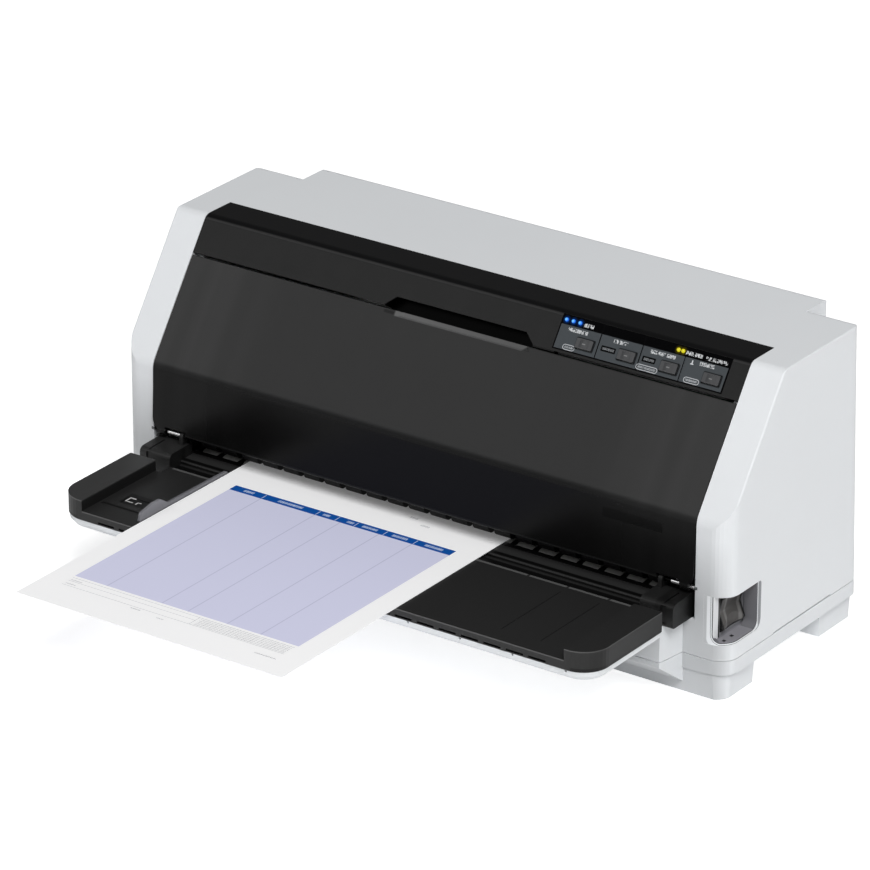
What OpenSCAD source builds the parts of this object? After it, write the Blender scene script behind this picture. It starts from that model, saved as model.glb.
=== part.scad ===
// Flatbed dot matrix printer with a hinged smoked cover, paper table and rear push tractor.
// Origin: on the floor, on the centre plane, at the front face of the body. +X right, +Y back.

/* [Body] */
// Width of the body
body_w = 480; // [470:1:500]
// Height of the body with its feet
body_h = 210.25; // [206:0.25:214]
// Height where the front face turns into the slope
break_z = 123.2; // [121:0.1:125]
// Depth from the front face to the fold at the top of the slope
fold_y = 61.2; // [60:0.1:63]
// Depth to the rear edge of the top at the sides
rear_top_y = 155; // [152:0.1:157]
// Depth to the rear wall at the seam
rear_seam_y = 162; // [160:0.1:164]
// Height of the seam between the two cases
seam_z = 29; // [28:0.5:30]
// Wall thickness of the moulded cases
wall = 2.5; // [2:0.1:3]
// Radius of the upright front corners
corner_r = 13; // [11:0.5:15]

/* [Front] */
// Half width of the black front between the white pillars
front_half = 215.4; // [213:0.2:217]
// Distance up the slope to the gap between the cover and the top bar
bar_gap_s = 78.6; // [77:0.1:80]
// Depth of the top bar's strip on the flat top
bar_top_y = 87.4; // [84:0.2:90]
// Thickness of the smoked front cover
cover_t = 2.2; // [2:0.1:2.6]
// Height of the front cover's lower edge
cover_low_z = 77; // [76:0.5:78]

/* [Paper path] */
// Underside of the paper on its flat path
paper_z = 63.1; // [62.8:0.1:63.4]
// Width of the sheet
paper_w = 210; // [148:1:210]
// Length of the sheet
paper_l = 297; // [210:1:297]
// Depth of the print line behind the front face
platen_y = 52; // [51:0.5:53]
// Distance from the print line to each feed roller
feed_pitch = 35; // [35:35]

/* [Paper table] */
// Half width of the table
table_half = 211; // [209:0.5:213]
// Front edge of the table, in front of the body
table_front = 110; // [105:1:115]
// Height of the side walls' top
table_top_z = 70.5; // [70:0.1:71]

/* [Rear tractor] */
// Rear end of the tractor unit
tractor_end_y = 231; // [225:1:236]
// Pitch of the holes along a continuous form
pin_pitch = 12.7; // [12.7:12.7]

/* [Hidden] */
$fn = 48;

half_w = body_w / 2;
clearance = 0.3;
run_fit = 0.05;
slope_a = atan2(body_h - break_z, fold_y);
slope_t = [cos(slope_a), sin(slope_a)];
slope_out = [-sin(slope_a), cos(slope_a)];

// Colours
white = [0.88, 0.89, 0.90];
black = [0.13, 0.13, 0.13];
smoke = [0.18, 0.18, 0.18];
grey = [0.38, 0.39, 0.41];
steel = [0.66, 0.68, 0.70];
rubber = [0.08, 0.08, 0.08];
ivory = [0.82, 0.80, 0.72];
board_green = [0.08, 0.30, 0.18];

// Depth of the rear wall's line at the floor
rear_low_y = rear_seam_y + (rear_seam_y - rear_top_y) * seam_z / (body_h - seam_z);
// Side outline of the case, clockwise from the foot of the front face: [y, z, corner radius]
case_outline = [[0, 0, 0], [0, break_z, 14], [fold_y, body_h, 7],
  [rear_top_y, body_h, 7], [rear_low_y, 0, 0]];
hood_half = 200.4;
hood_y = 179;
hood_low_z = 95;
// White nose under the paper entrance
nose_half = 203.6;
nose_root = 206.8;
nose_y = -22;
nose_top_z = 54;
nose_low_z = 25.2;
pan_z = 8.7;
skirt_z = 18.5;
pan_half = 204;

// Gear train, module 1: teeth of each wheel
platen_teeth = 26;
feed_teeth = 14;
idler_teeth = 20;
transfer_teeth = 58;
tractor_teeth = 21;
pinion_teeth = 12;
gear_x = -206;
gear_w = 6;
backlash = 0.16;
// Radii that give the pin wheels and all rollers one surface speed
wheel_r = pin_pitch * 6 / (2 * PI);
platen_r = wheel_r * platen_teeth / tractor_teeth;
feed_r = platen_r * feed_teeth / platen_teeth;

// Shafts, as [y, z]
platen_c = [platen_y, paper_z - clearance - platen_r];
front_c = [platen_y - feed_pitch, paper_z - clearance - feed_r];
rear_c = [platen_y + feed_pitch, paper_z - clearance - feed_r];
paper_t = 0.3;
pinch_r = 5;
pinch_z = paper_z + paper_t + clearance + pinch_r;
carriage_c = [80, 86];
carriage_shaft_r = 5;
// Underside of the ribbon cartridge
cartridge_z = 76.4;
platen_shaft_r = 4;
feed_shaft_r = 3;
pinch_shaft_r = 2;

// Where two circles meet, on the left of the way from a to b
function meet(a, ra, b, rb) =
  let (d = norm(b - a), u = (b - a) / d, k = (ra * ra - rb * rb + d * d) / (2 * d))
  a + u * k + [-u[1], u[0]] * sqrt(ra * ra - k * k);
front_idler_c = meet(front_c, (feed_teeth + idler_teeth) / 2, platen_c,
  (platen_teeth + idler_teeth) / 2);
rear_idler_c = meet(rear_c, (feed_teeth + idler_teeth) / 2, platen_c,
  (platen_teeth + idler_teeth) / 2);
transfer_c = rear_c + (feed_teeth + transfer_teeth) / 2 * [cos(-4.5), sin(-4.5)];
tractor_z = paper_z - clearance - wheel_r;
tractor_reach = (transfer_teeth + tractor_teeth) / 2;
tractor_c = [transfer_c[0] + sqrt(pow(tractor_reach, 2) - pow(transfer_c[1] - tractor_z, 2)),
  tractor_z];
pinion_c = transfer_c + (transfer_teeth + pinion_teeth) / 2 * [cos(-142), sin(-142)];
frame_x = 196;
frame_t = 2;
pulley_x = 175;
pulley_y = 116;
pulley_r = 9;
belt_z = 101;
belt_w = 6;
belt_t = 1.2;
table_floor_z = 62.8;
table_rear = 31;
rocker_pivot = [224, 58.5];

// ---------- shared shapes ----------

function unit(v) = v / norm(v);
function swing(a) = (a + 540) % 360 - 180;

// Arc that rounds corner b between a and c
function corner_arc(a, b, c, r, n = 6) =
  r <= 0.01 ? [b] :
  let (u = unit(a - b), v = unit(c - b), half = acos(u * v) / 2,
    centre = b + unit(u + v) * r / sin(half), reach = r / tan(half),
    p = b + u * reach - centre, q = b + v * reach - centre,
    from = atan2(p[1], p[0]), turn = swing(atan2(q[1], q[0]) - from))
  [for (i = [0:n]) centre + r * [cos(from + turn * i / n), sin(from + turn * i / n)]];

// Outline through corners [x, y, radius]
function rounded(c, n = 6) = [for (i = [0:len(c) - 1])
  let (a = c[(i + len(c) - 1) % len(c)], b = c[i], d = c[(i + 1) % len(c)])
  each corner_arc([a[0], a[1]], [b[0], b[1]], [d[0], d[1]], b[2], n)];

// The same clockwise corners moved inwards by d
function inset(c, d) = [for (i = [0:len(c) - 1])
  let (a = c[(i + len(c) - 1) % len(c)], b = c[i], e = c[(i + 1) % len(c)],
    s = unit([b[0] - a[0], b[1] - a[1]]), t = unit([e[0] - b[0], e[1] - b[1]]),
    m = [s[1], -s[0]], n = [t[1], -t[0]], k = d / (1 + m * n))
  [b[0] + (m[0] + n[0]) * k, b[1] + (m[1] + n[1]) * k, max(b[2] - d, 0)]];

// Box between two corners
module block(low, high) translate(low) cube(high - low);

// Outline in the (y, z) plane swept across the width from x0 to x1
module across(x0, x1) translate([x0, 0, 0]) rotate([90, 0, 90]) linear_extrude(x1 - x0) children();

// Round bar along X
module bar_x(x0, x1, c, r) translate([x0, c[0], c[1]]) rotate([0, 90, 0]) cylinder(h = x1 - x0, r = r);

// Places a piece on the sloped front: x across, s up the slope, z out of it
module on_slope(x = 0, s = 0)
  translate([0, 0, break_z]) rotate([slope_a, 0, 0]) translate([x, s, 0]) children();

// Places a piece on the rear wall: x across, y out of it
module on_rear(x, z) translate([x, rear_low_y - tan(rear_lean) * z, z])
  rotate([rear_lean, 0, 0]) children();

module both_sides() {
  children();
  mirror([1, 0, 0]) children();
}

// Prism whose two edges along the face from a to b are rounded
module face_prism(a, b, half, r) {
  t = unit([b[0] - a[0], b[1] - a[1]]);
  turn = atan2(-t[0], t[1]);
  translate([0, a[0], a[1]]) rotate([turn, 0, 0]) translate([0, 0, -300]) linear_extrude(700)
    polygon(rounded([[-half, 0, r], [-half, 400, 0], [half, 400, 0], [half, 0, r]], 8));
}

// Outer form of the case, moved inwards by d
module case_form(d) {
  c = inset(case_outline, d);
  edge_r = [corner_r, 1.4, 1.2, 11];
  intersection() {
    across(-half_w + d, half_w - d) polygon(rounded(c));
    for_faces(c, edge_r, d);
  }
}

module for_faces(c, edge_r, d) intersection() {
  face_prism(c[0], c[1], half_w - d, edge_r[0] - d);
  face_prism(c[1], c[2], half_w - d, edge_r[1] - d);
  face_prism(c[2], c[3], half_w - d, edge_r[2] - d);
  face_prism(c[3], c[4], half_w - d, edge_r[3] - d);
}

// Deeper middle of the rear, above the tractor
module hood_form(d) {
  c = inset([[100, hood_low_z, 0], [100, body_h, 0], [hood_y, body_h, 8], [hood_y, hood_low_z, 3]], d);
  intersection() {
    across(-hood_half + d, hood_half - d) polygon(rounded(c));
    translate([0, 0, 50]) linear_extrude(200)
      polygon(rounded([[-hood_half + d, 90, 0], [-hood_half + d, hood_y - d, 6 - d],
        [hood_half - d, hood_y - d, 6 - d], [hood_half - d, 90, 0]]));
  }
}

// White nose in front of the body, below the paper entrance
module nose_form(d) intersection() {
  across(-nose_root, nose_root) polygon(rounded(inset([[nose_y, nose_low_z, 1.5],
    [nose_y, nose_top_z, 1], [8, nose_top_z, 0], [8, 3.2, 0]], d)));
  linear_extrude(80) polygon([[-nose_root - 1.2 + d, 8], [-nose_half + d, nose_y],
    [nose_half - d, nose_y], [nose_root + 1.2 - d, 8]]);
}

// Spur gear of module 1 with involute flanks, centred on the Z axis
module spur(teeth, width, bore_r) {
  pitch_r = teeth / 2;
  base_r = pitch_r * cos(20);
  tip_r = pitch_r + 1;
  root_r = pitch_r - 1.25;
  start_r = max(base_r, root_r + 0.05);
  function roll(r) = r <= base_r ? 0 : sqrt(r * r / (base_r * base_r) - 1) * 180 / PI;
  function lean(r) = roll(r) - atan(roll(r) * PI / 180);
  half_tooth = 90 / teeth - backlash / (2 * pitch_r) * 180 / PI + lean(pitch_r);
  flank = [for (i = [0:4]) start_r + (tip_r - start_r) * i / 4];
  linear_extrude(width, center = true) difference() {
    polygon([for (k = [0:teeth - 1]) let (mid = 360 * k / teeth) each concat(
      [root_r * [cos(mid - half_tooth), sin(mid - half_tooth)]],
      [for (r = flank) r * [cos(mid - half_tooth + lean(r)), sin(mid - half_tooth + lean(r))]],
      [for (i = [4:-1:0]) let (r = flank[i])
        r * [cos(mid + half_tooth - lean(r)), sin(mid + half_tooth - lean(r))]],
      [root_r * [cos(mid + half_tooth), sin(mid + half_tooth)]])]);
    circle(bore_r);
  }
}

// A gear standing in the gear plane at c, turned by phase about X
module gear_at(teeth, c, phase, bore_r) translate([gear_x, c[0], c[1]])
  rotate([phase, 0, 0]) rotate([90, 0, 90]) spur(teeth, gear_w, bore_r);

// Direction from a to b as an angle about X
function heading(a, b) = atan2(b[1] - a[1], b[0] - a[0]);
// Phase of a gear at c that meshes with a gear of n teeth and phase p at b
function mesh_phase(c, m, b, n, p) =
  let (h = heading(b, c)) h + 180 + 180 / m - (p - h) * n / m;

platen_phase = 0;
rear_idler_phase = mesh_phase(rear_idler_c, idler_teeth, platen_c, platen_teeth, platen_phase);
front_idler_phase = mesh_phase(front_idler_c, idler_teeth, platen_c, platen_teeth, platen_phase);
rear_phase = mesh_phase(rear_c, feed_teeth, rear_idler_c, idler_teeth, rear_idler_phase);
front_phase = mesh_phase(front_c, feed_teeth, front_idler_c, idler_teeth, front_idler_phase);
transfer_phase = mesh_phase(transfer_c, transfer_teeth, rear_c, feed_teeth, rear_phase);
tractor_phase = mesh_phase(tractor_c, tractor_teeth, transfer_c, transfer_teeth, transfer_phase);
pinion_phase = mesh_phase(pinion_c, pinion_teeth, transfer_c, transfer_teeth, transfer_phase);

// ---------- cases ----------

screw_places = [[-222, 50], [-222, 108], [222, 50], [222, 108]];
head_hole_r = 3.8;
inlet_c = [215, 74];
// Lean of the rear wall
rear_lean = atan2(rear_low_y - rear_top_y, body_h);
port_z = 128;
gear_slot = [-214, 32.4];
foot_x = [138, 237];
foot_y = [[1, 38], [117, 155]];

// Foot with a slight draft, from its flat underside to the skirt
module foot(y) translate([0, 0, 1.2]) difference() {
  hull() {
    block([foot_x[0] + 1.5, y[0] + 0.6, 0], [foot_x[1] - 0.6, y[1] - 0.6, 1]);
    block([foot_x[0], y[0], skirt_z - 1.2], [foot_x[1], y[1], skirt_z - 0.7]);
  }
  translate([foot_x[1] - 20, (y[0] + y[1]) / 2, -0.1]) cylinder(h = 2.1, r = 9);
}

module lower_case() color(white) {
  top = seam_z - 0.3;
  post_z = skirt_z + wall - 0.5;
  difference() {
    union() {
      intersection() {
        case_form(0);
        block([-half_w, -1, skirt_z], [half_w, 200, top]);
      }
      intersection() {
        union() {
          nose_form(0);
          block([-pan_half, 7, pan_z], [pan_half, 152, top]);
        }
        block([-half_w, nose_y - 1, pan_z], [half_w, 152, top]);
      }
      both_sides() for (y = foot_y) foot(y);
    }
    intersection() {
      case_form(wall);
      block([-half_w, 0, skirt_z + wall], [half_w, 200, 40]);
    }
    block([-pan_half + wall, 4, pan_z + wall], [pan_half - wall, 152 - wall, 40]);
    intersection() {
      nose_form(wall);
      block([-half_w, nose_y, pan_z + wall], [half_w, 8, 40]);
    }
    for (p = screw_places) translate([p[0], p[1], skirt_z - 1]) cylinder(h = 5, r = head_hole_r);
    // Cooling slots under the pan
    for (i = [0:11]) block([-66 + 12 * i, 60, pan_z - 1], [-61 + 12 * i, 110, pan_z + 4]);
  }
  // Screw posts that meet those of the upper case
  for (p = screw_places) translate([p[0], p[1], post_z]) difference() {
    cylinder(h = seam_z + 0.2 - post_z, r = 6);
    translate([0, 0, -0.1]) cylinder(h = 2, r = head_hole_r);
    translate([0, 0, -1]) cylinder(h = 20, r = 1.7);
  }
  // Bosses that carry the chassis
  for (x = [-160, 160], y = [30, 130]) translate([x, y, pan_z + wall - 0.2]) cylinder(h = 2.5, r = 7);
}

// Recess for the power switch, round the right front corner
module switch_cut(d) across(222 + d, half_w + 5)
  polygon(rounded([[-4, 40 + d, 0], [-4, 73.5 - d, 0], [39.5 - d, 73.5 - d, 2], [39.5 - d, 40 + d, 6]]));

module upper_case() color(white) difference() {
  union() {
    difference() {
      union() {
        case_form(0);
        hood_form(0);
      }
      union() {
        case_form(wall);
        hood_form(wall);
      }
    }
    // Nose above the seam
    difference() {
      intersection() {
        nose_form(0);
        block([-half_w, nose_y - 1, 20], [half_w, 2, 80]);
      }
      nose_form(wall);
    }
    // Inner sides of the two front pillars
    intersection() {
      case_form(0.5);
      both_sides() across(front_half, front_half + wall) polygon([[0, 20], [0, break_z],
        [fold_y, body_h], [bar_top_y + 2, body_h], [bar_top_y + 2, 190], [84, 182], [30, 105], [24, 20]]);
    }
    // Ledges under the top bar
    intersection() {
      case_form(bar_t);
      both_sides() across(front_half - 6, front_half + 1) polygon([[50, 184], [66, body_h - bar_t],
        [92, body_h - bar_t], [92, 201], [70, 201], [57, 182]]);
    }
    // Screw posts, each tied to the side wall by a web
    for (p = screw_places) difference() {
      union() {
        translate([p[0], p[1], seam_z + 0.2]) cylinder(h = 26, r = 5);
        block([p[0] > 0 ? p[0] : -half_w + 1, p[1] - 1, seam_z + 0.2],
          [p[0] > 0 ? half_w - 1 : p[0], p[1] + 1, seam_z + 24]);
      }
      translate([p[0], p[1], seam_z - 1]) cylinder(h = 18, r = 1.5);
    }
    // Posts that carry the circuit board
    for (x = [-34, 164], z = [112, 184]) translate([x, 160.6, z]) rotate([-90, 0, 0])
      cylinder(h = hood_y - 161.6, r = 4);
  }
  // Everything below the seam
  block([-half_w - 1, nose_y - 2, -1], [half_w + 1, 200, seam_z + 0.2]);
  // Front opening, up to the flat top
  difference() {
    block([-front_half, -1, nose_top_z], [front_half, bar_top_y + 0.3, body_h + 1]);
    intersection() {
      case_form(bar_t);
      both_sides() block([front_half - 6, 49, 180], [front_half, 95, body_h]);
    }
  }
  // Way through from the body into the nose
  block([-nose_half + wall, -1, 20], [nose_half - wall, 8, nose_top_z - wall]);
  // Rear opening for continuous forms and the tractor's gear
  block([gear_slot[0], 140, gear_slot[1]], [190, 190, 93.4]);
  switch_cut(0);
  on_rear(inlet_c[0], inlet_c[1]) block([-10.2, -6, -14], [10.2, 3, 14]);
  both_sides() bar_x(200, front_half + 1.6, pin_c, pin_r);
  for (p = port_boxes) translate([p[0], 165, port_z])
    block([-p[1] / 2 - 0.3, 0, -p[2] / 2 - 0.3], [p[1] / 2 + 0.3, 20, p[2] / 2 + 0.3]);
  // Finger grips low on both sides
  both_sides() translate([half_w, 90, seam_z - 1]) rotate([0, 45, 0]) cube([3, 70, 3], center = true);
}

module case_screws() color(steel) for (p = screw_places) translate([p[0], p[1], skirt_z + 1.3])
  difference() {
    union() {
      cylinder(h = 2.6, r = 3.2);
      cylinder(h = 22, r = 1.5);
    }
    for (a = [0, 90]) rotate(a) translate([0, 0, 0.4]) cube([4, 0.8, 1.2], center = true);
  }

module rubber_feet() color(rubber) both_sides() for (y = foot_y)
  translate([foot_x[1] - 20, (y[0] + y[1]) / 2, 0]) cylinder(h = 3.2, r = 8.7);

// ---------- top bar and control panel ----------

bar_t = 2.6;
// Depth of the finger notch's scoop
scoop_d = 9;
panel_x = [73.8, 202];
panel_s = [81.3, 104.6];
strip_s = 98.1;
zone_pitch = (panel_x[1] - panel_x[0]) / 4;
button_s = 88.4;
button_size = [12.5, 6.6];
function button_x(i) = panel_x[0] + 22.3 + zone_pitch * i;
light_places = [[77.3, 101.2], [82.5, 101.2], [87.7, 101.2], [162.6, 101.2], [166, 101.2]];
light_r = 1.35;

// Outline of the finger notch, enlarged by d
function notch_line(d) = [[-58 - d, -2], [-58 - d, 0.9], [-50.5 - d, 8 + d], [63 + d, 8 + d],
  [76 + d, 0.9], [76 + d, -2]];

module front_bar() color(black) {
  bar_shell();
  // Closed scoop behind the finger notch, reaching under the cover's edge
  on_slope(0, bar_gap_s) difference() {
    union() {
      translate([0, 0, -scoop_d]) linear_extrude(scoop_d - 1) intersection() {
        polygon(notch_line(1.5));
        translate([-100, 0.9]) square([200, 20]);
      }
      block([-56, -5, -scoop_d], [74, 1, -scoop_d + 1.6]);
    }
    translate([0, 0, -scoop_d + 1.6]) linear_extrude(20) polygon(notch_line(0));
  }
}

module bar_shell() difference() {
  union() {
    across(-front_half + clearance, front_half - clearance) difference() {
      intersection() {
        polygon(rounded(case_outline, 8));
        polygon([bar_corner(0.9, 1), [fold_y - 4, body_h + 4], [bar_top_y, body_h + 4],
          [bar_top_y, body_h - 20], bar_corner(0.9, -14)]);
      }
      polygon(rounded(inset(case_outline, bar_t), 8));
    }
    // Return lip along the lower edge, and ribs that stiffen the bar
    on_slope(0, bar_gap_s + 0.9) block([-front_half + 7, 0, -9], [front_half - 7, 2, -2]);
    for (x = [-180:60:180]) across(x - 1, x + 1) polygon([bar_corner(2, -2.4), [fold_y + 1, body_h - 2.4],
      [bar_top_y - 1, body_h - 2.4], [bar_top_y - 1, body_h - 6],
          [fold_y + 6, body_h - 9], bar_corner(2, -8)]);
  }
  // Finger notch in the lower edge
  on_slope(0, bar_gap_s) translate([0, 0, -12]) linear_extrude(20) polygon(notch_line(0));
  // Seat of the control panel, and the holes behind it
  on_slope() block([panel_x[0] - clearance, panel_s[0] - clearance, -1.2],
    [panel_x[1] + clearance, panel_s[1] + clearance, 3]);
  for (i = [0:3]) on_slope(button_x(i), button_s)
    block([-button_size[0] / 2 - 1, -button_size[1] / 2 - 1, -10],
        [button_size[0] / 2 + 1, button_size[1] / 2 + 1, 3]);
  for (p = light_places) on_slope(p[0], p[1]) translate([0, 0, -10]) cylinder(h = 12, r = light_r + 0.1);
}

// Point on the slope, ds above the cover gap and out from the surface
function bar_corner(ds, out) = [0, break_z] + slope_t * (bar_gap_s + ds) + slope_out * out;

module control_panel() color(grey) difference() {
  union() {
    on_slope() block([panel_x[0], panel_s[0], -1.2], [panel_x[1], panel_s[1], -0.1]);
    for (i = [0:3]) on_slope(panel_x[0] + zone_pitch * i) block([0.35, panel_s[0], -0.2],
      [zone_pitch - 0.35, strip_s, 0.2]);
  }
  for (i = [0:3]) on_slope(button_x(i), button_s) block(
    [-button_size[0] / 2 - clearance, -button_size[1] / 2 - clearance, -3],
    [button_size[0] / 2 + clearance, button_size[1] / 2 + clearance, 3]);
  for (p = light_places) on_slope(p[0], p[1]) translate([0, 0, -3]) cylinder(h = 6, r = light_r);
}

module status_lights() color([0.2, 0.6, 1]) for (p = light_places) on_slope(p[0], p[1]) {
  translate([0, 0, -7]) cylinder(h = 7.1, r = light_r);
  translate([0, 0, 0.1]) intersection() {
    sphere(r = light_r);
    translate([0, 0, -0.05]) cylinder(h = 3, r = light_r + 1);
  }
}

// Key cap with a stem that ends in a retaining collar behind the bar
module panel_button(i) color([0.22, 0.22, 0.23]) on_slope(button_x(i), button_s) {
  difference() {
    translate([0, 0, -2]) linear_extrude(3.4) polygon(rounded([
        [-button_size[0] / 2, -button_size[1] / 2, 0.8],
      [-button_size[0] / 2, button_size[1] / 2, 0.8], [button_size[0] / 2, button_size[1] / 2, 0.8],
      [button_size[0] / 2, -button_size[1] / 2, 0.8]]));
    translate([0, 0, 21.1]) rotate([90, 0, 0]) cylinder(h = 5, r = 20, center = true);
  }
  block([-3, -2, -9], [3, 2, -1.9]);
  block([-button_size[0] / 2, -button_size[1] / 2, -5.4], [button_size[0] / 2, button_size[1] / 2, -4.2]);
}

// ---------- front cover ----------

cover_half = front_half - 0.6;
pin_c = [1.2, 76];
pin_r = 1.6;
cover_foot_y = -2.26;
// Outer face of the cover, clockwise
cover_line = [[cover_foot_y, cover_low_z], [0, break_z], [0, break_z] + slope_t * (bar_gap_s - 0.9)];

module front_cover() color(smoke) difference() {
  union() {
    intersection() {
      across(-cover_half, cover_half) difference() {
        polygon(rounded([[cover_line[0][0], cover_line[0][1], 0.8], [0, break_z, 14],
          [cover_line[2][0], cover_line[2][1], 0.8], [60, cover_line[2][1] - 6, 0], [60, 60, 0]], 8));
        polygon(rounded([[cover_line[0][0] + cover_t - 0.05, 50, 0], [cover_t * 0.93, break_z - 1, 12],
          [cover_line[2][0] + 1.4 + slope_t[0] * 9, cover_line[2][1] - 1.8 + slope_t[1] * 9, 0],
              [90, 200, 0], [90, 50, 0]], 8));
        polygon([[cover_line[2][0] - 6, cover_line[2][1] + 4.2],
            [cover_line[2][0] + 12, cover_line[2][1] - 8.44],
          [90, 260], [0, 260]]);
      }
      // Lower corners are rounded off
      translate([0, -20, 0]) rotate([-90, 0, 0]) linear_extrude(120) mirror([0, 1]) polygon(rounded([
        [-cover_half, cover_low_z - 1, 9], [-cover_half, 260, 0], [cover_half, 260, 0],
            [cover_half, cover_low_z - 1, 9]]));
    }
    // Knuckles round the hinge pins
    both_sides() {
      bar_x(205, 211, pin_c, 3.2);
      block([205, -1, pin_c[1]], [211, 2.4, 88]);
      // Stiffening ribs down both ends
      across(206.5, 208) polygon([[1.5, 80], [1.5, 122], cover_line[2] + [2.2, -3], cover_line[2] + [5, -6],
        [6, 121], [4.5, 84]]);
    }
    // Finger lip on the top edge
    on_slope(0, bar_gap_s - 0.9) translate([0, 0, -cover_t]) linear_extrude(cover_t + 0.5)
      polygon([[-44, -3.2], [-42, -0.2], [56, -0.2], [58, -3.2]]);
  }
  both_sides() {
    bar_x(200, 214, pin_c, pin_r + run_fit);
    // Windows that show the pins
    block([187.5, -8, 60], [204.6, 12, 80.2]);
  }
}

module cover_pins() color(steel) both_sides() bar_x(189.5, front_half + 1.6, pin_c, pin_r);

// ---------- paper entrance and table ----------

block_in = 187;
block_out = 212;
block_y = -20;

module paper_entrance() color(black) difference() {
  union() {
    both_sides() {
      across(block_in, block_out) polygon(rounded([[block_y, nose_top_z, 1.5], [block_y, 70.4, 4],
        [2, 71, 0], [2, nose_top_z, 0]]));
      // Ear that holds the inner end of the hinge pin
      across(189.2, 192) polygon(rounded([[-2.6, 70, 0], [-2.6, 79, 2.5], [4.6, 79, 2.5], [4.6, 70, 0]]));
      // Wall between the block and the slot
      block([block_in, 1.9, nose_top_z], [block_out, 5, 70.2]);
      block([194, 1.9, nose_top_z], [196, 8, 70.2]);
    }
    block([-block_in - 1, block_y, 57.3], [block_in + 1, 8, 59.5]);
    // Guide bar ahead of the front rollers, with its underside ribs
    across(-block_in - 1, block_in + 1) polygon(rounded([[-8, 59, 0], [-8, paper_z - 0.6, 1.6],
      [7, paper_z - 0.4, 1], [8, 59, 0]]));
    for (x = [-170:34:170]) block([x - 1, block_y, 55], [x + 1, 6, 58]);
  }
  both_sides() {
    bar_x(180, 220, pin_c, pin_r);
    // Slots in the blocks' faces
    block([202.4, block_y - 1, 56], [206.6, block_y + 1.2, 68.6]);
    block([204.2, block_y - 1, 69.6], [205.4, -2, 72]);
  }
}

// Plan of the table with round front corners, moved inwards by d
function table_plan(d) = rounded([[-table_half + d, -table_rear, 0], [table_half - d, -table_rear, 0],
  [table_half - d, -table_front + d, 19 - d], [-table_half + d, -table_front + d, 19 - d]], 10);

module paper_table() color(black) difference() {
  union() {
    translate([0, 0, 56.7]) linear_extrude(table_top_z - 56.7) polygon(table_plan(0));
    block([-186, -table_rear - 1, 59.6], [186, block_y - 0.6, table_floor_z]);
  }
  // Floor between the side walls
  block([-190, -106.5, table_floor_z], [190, 0, 80]);
  block([-190, -130, table_floor_z], [190, -106, 80]);
  // Hollow underside, with ribs left standing
  for (i = [-5:4]) block([37 * i + 1, -table_front + 5, 50],
      [37 * (i + 1) - 1, -table_rear - 2, table_floor_z - 2.4]);
  both_sides() block([192, -90, 50], [table_half - 2.6, -table_rear - 2.4, table_top_z - 2.4]);
  // Row of slots under the front edge
  for (i = [-10:10]) block([17 * i - 6.5, -table_front - 1, 56], [17 * i + 6.5, -table_front + 3, 58.4]);
  // Groove that guides the edge guide's foot, and the marker's shallow seat
  block([-188, -92.4, table_floor_z - 1.2], [56, -89.6, 80]);
  block([-178, -84.5, table_floor_z - 0.3], [-156, -74, 80]);
  // Joint lines between the floor's panels
  for (x = [133.4, 163]) block([x, -96, table_floor_z - 0.4], [x + 0.5, -30, 80]);
}

module table_base() color(white) {
  difference() {
    intersection() {
      hull() {
        translate([0, 0, 53]) linear_extrude(3.7) polygon(table_plan(0.8));
        translate([0, 0, 49.4]) linear_extrude(0.4) polygon(table_plan(4));
      }
      across(-300, 300) polygon([[-120, 49], [-96, 49], [-20, 52.6], [-20, 60], [-120, 60]]);
    }
    translate([0, 0, 53.2]) linear_extrude(5) polygon(table_plan(4.4));
    // Small drain holes in the front rim
    for (i = [-4:4]) translate([31 + 40 * i, -table_front + 6, 55]) rotate([90, 0, 0])
      cylinder(h = 12, r = 0.9, $fn = 16);
  }
  // Tabs that hook under the paper entrance, over the nose
  both_sides() for (x = [72, 140]) {
    block([x, -table_rear - 8, 52.6], [x + 26, -table_rear, 56.7]);
    block([x, -table_rear - 8, nose_top_z], [x + 26, -5, 56.7]);
  }
}

guide_x = -149.6;

// Fence that the sheet's left edge runs along, with a tall fin at the front
module edge_guide() color([0.45, 0.45, 0.47]) {
  across(guide_x, guide_x + 1.8) polygon(rounded([[-103, table_floor_z + clearance, 1], [-101, 69, 2.5],
    [-88, 71.6, 4], [-80, 71.4, 3], [-72, 66, 3], [-9, 65.2, 1.5], [-7, table_floor_z + clearance, 0]]));
  block([guide_x - 6, -91.6, table_floor_z - 0.9], [guide_x + 1, -90.4, table_floor_z + 1.5]);
  block([guide_x - 4, -97, table_floor_z + clearance], [guide_x + 0.5, -85, table_floor_z + 1.6]);
}

sheet_x = -147.2;

module paper_sheet() color([0.96, 0.96, 0.97])
  block([sheet_x, -tractor_end_y, paper_z],
      [sheet_x + paper_w, -tractor_end_y + paper_l, paper_z + paper_t]);

// ---------- power switch ----------

module switch_bezel() color([0.78, 0.79, 0.80]) difference() {
  intersection() {
    switch_cut(0);
    case_form(0.3);
  }
  // Pocket, open to the right and round the corner to the front
  across(229.5, half_w + 6) polygon(rounded([[-6, 42.2, 0], [-6, 80, 0], [37.4, 80, 0], [37.4, 42.2, 5]]));
  // Window for the rocker
  block([218, 7.6, 45.6], [232, 33.4, 71.4]);
  rocker_axle(5.8, 35.2, 1.5 + run_fit);
}

module rocker_axle(y0, y1, r) translate([rocker_pivot[0], y1, rocker_pivot[1]]) rotate([90, 0, 0])
  cylinder(h = y1 - y0, r = r);

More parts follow.
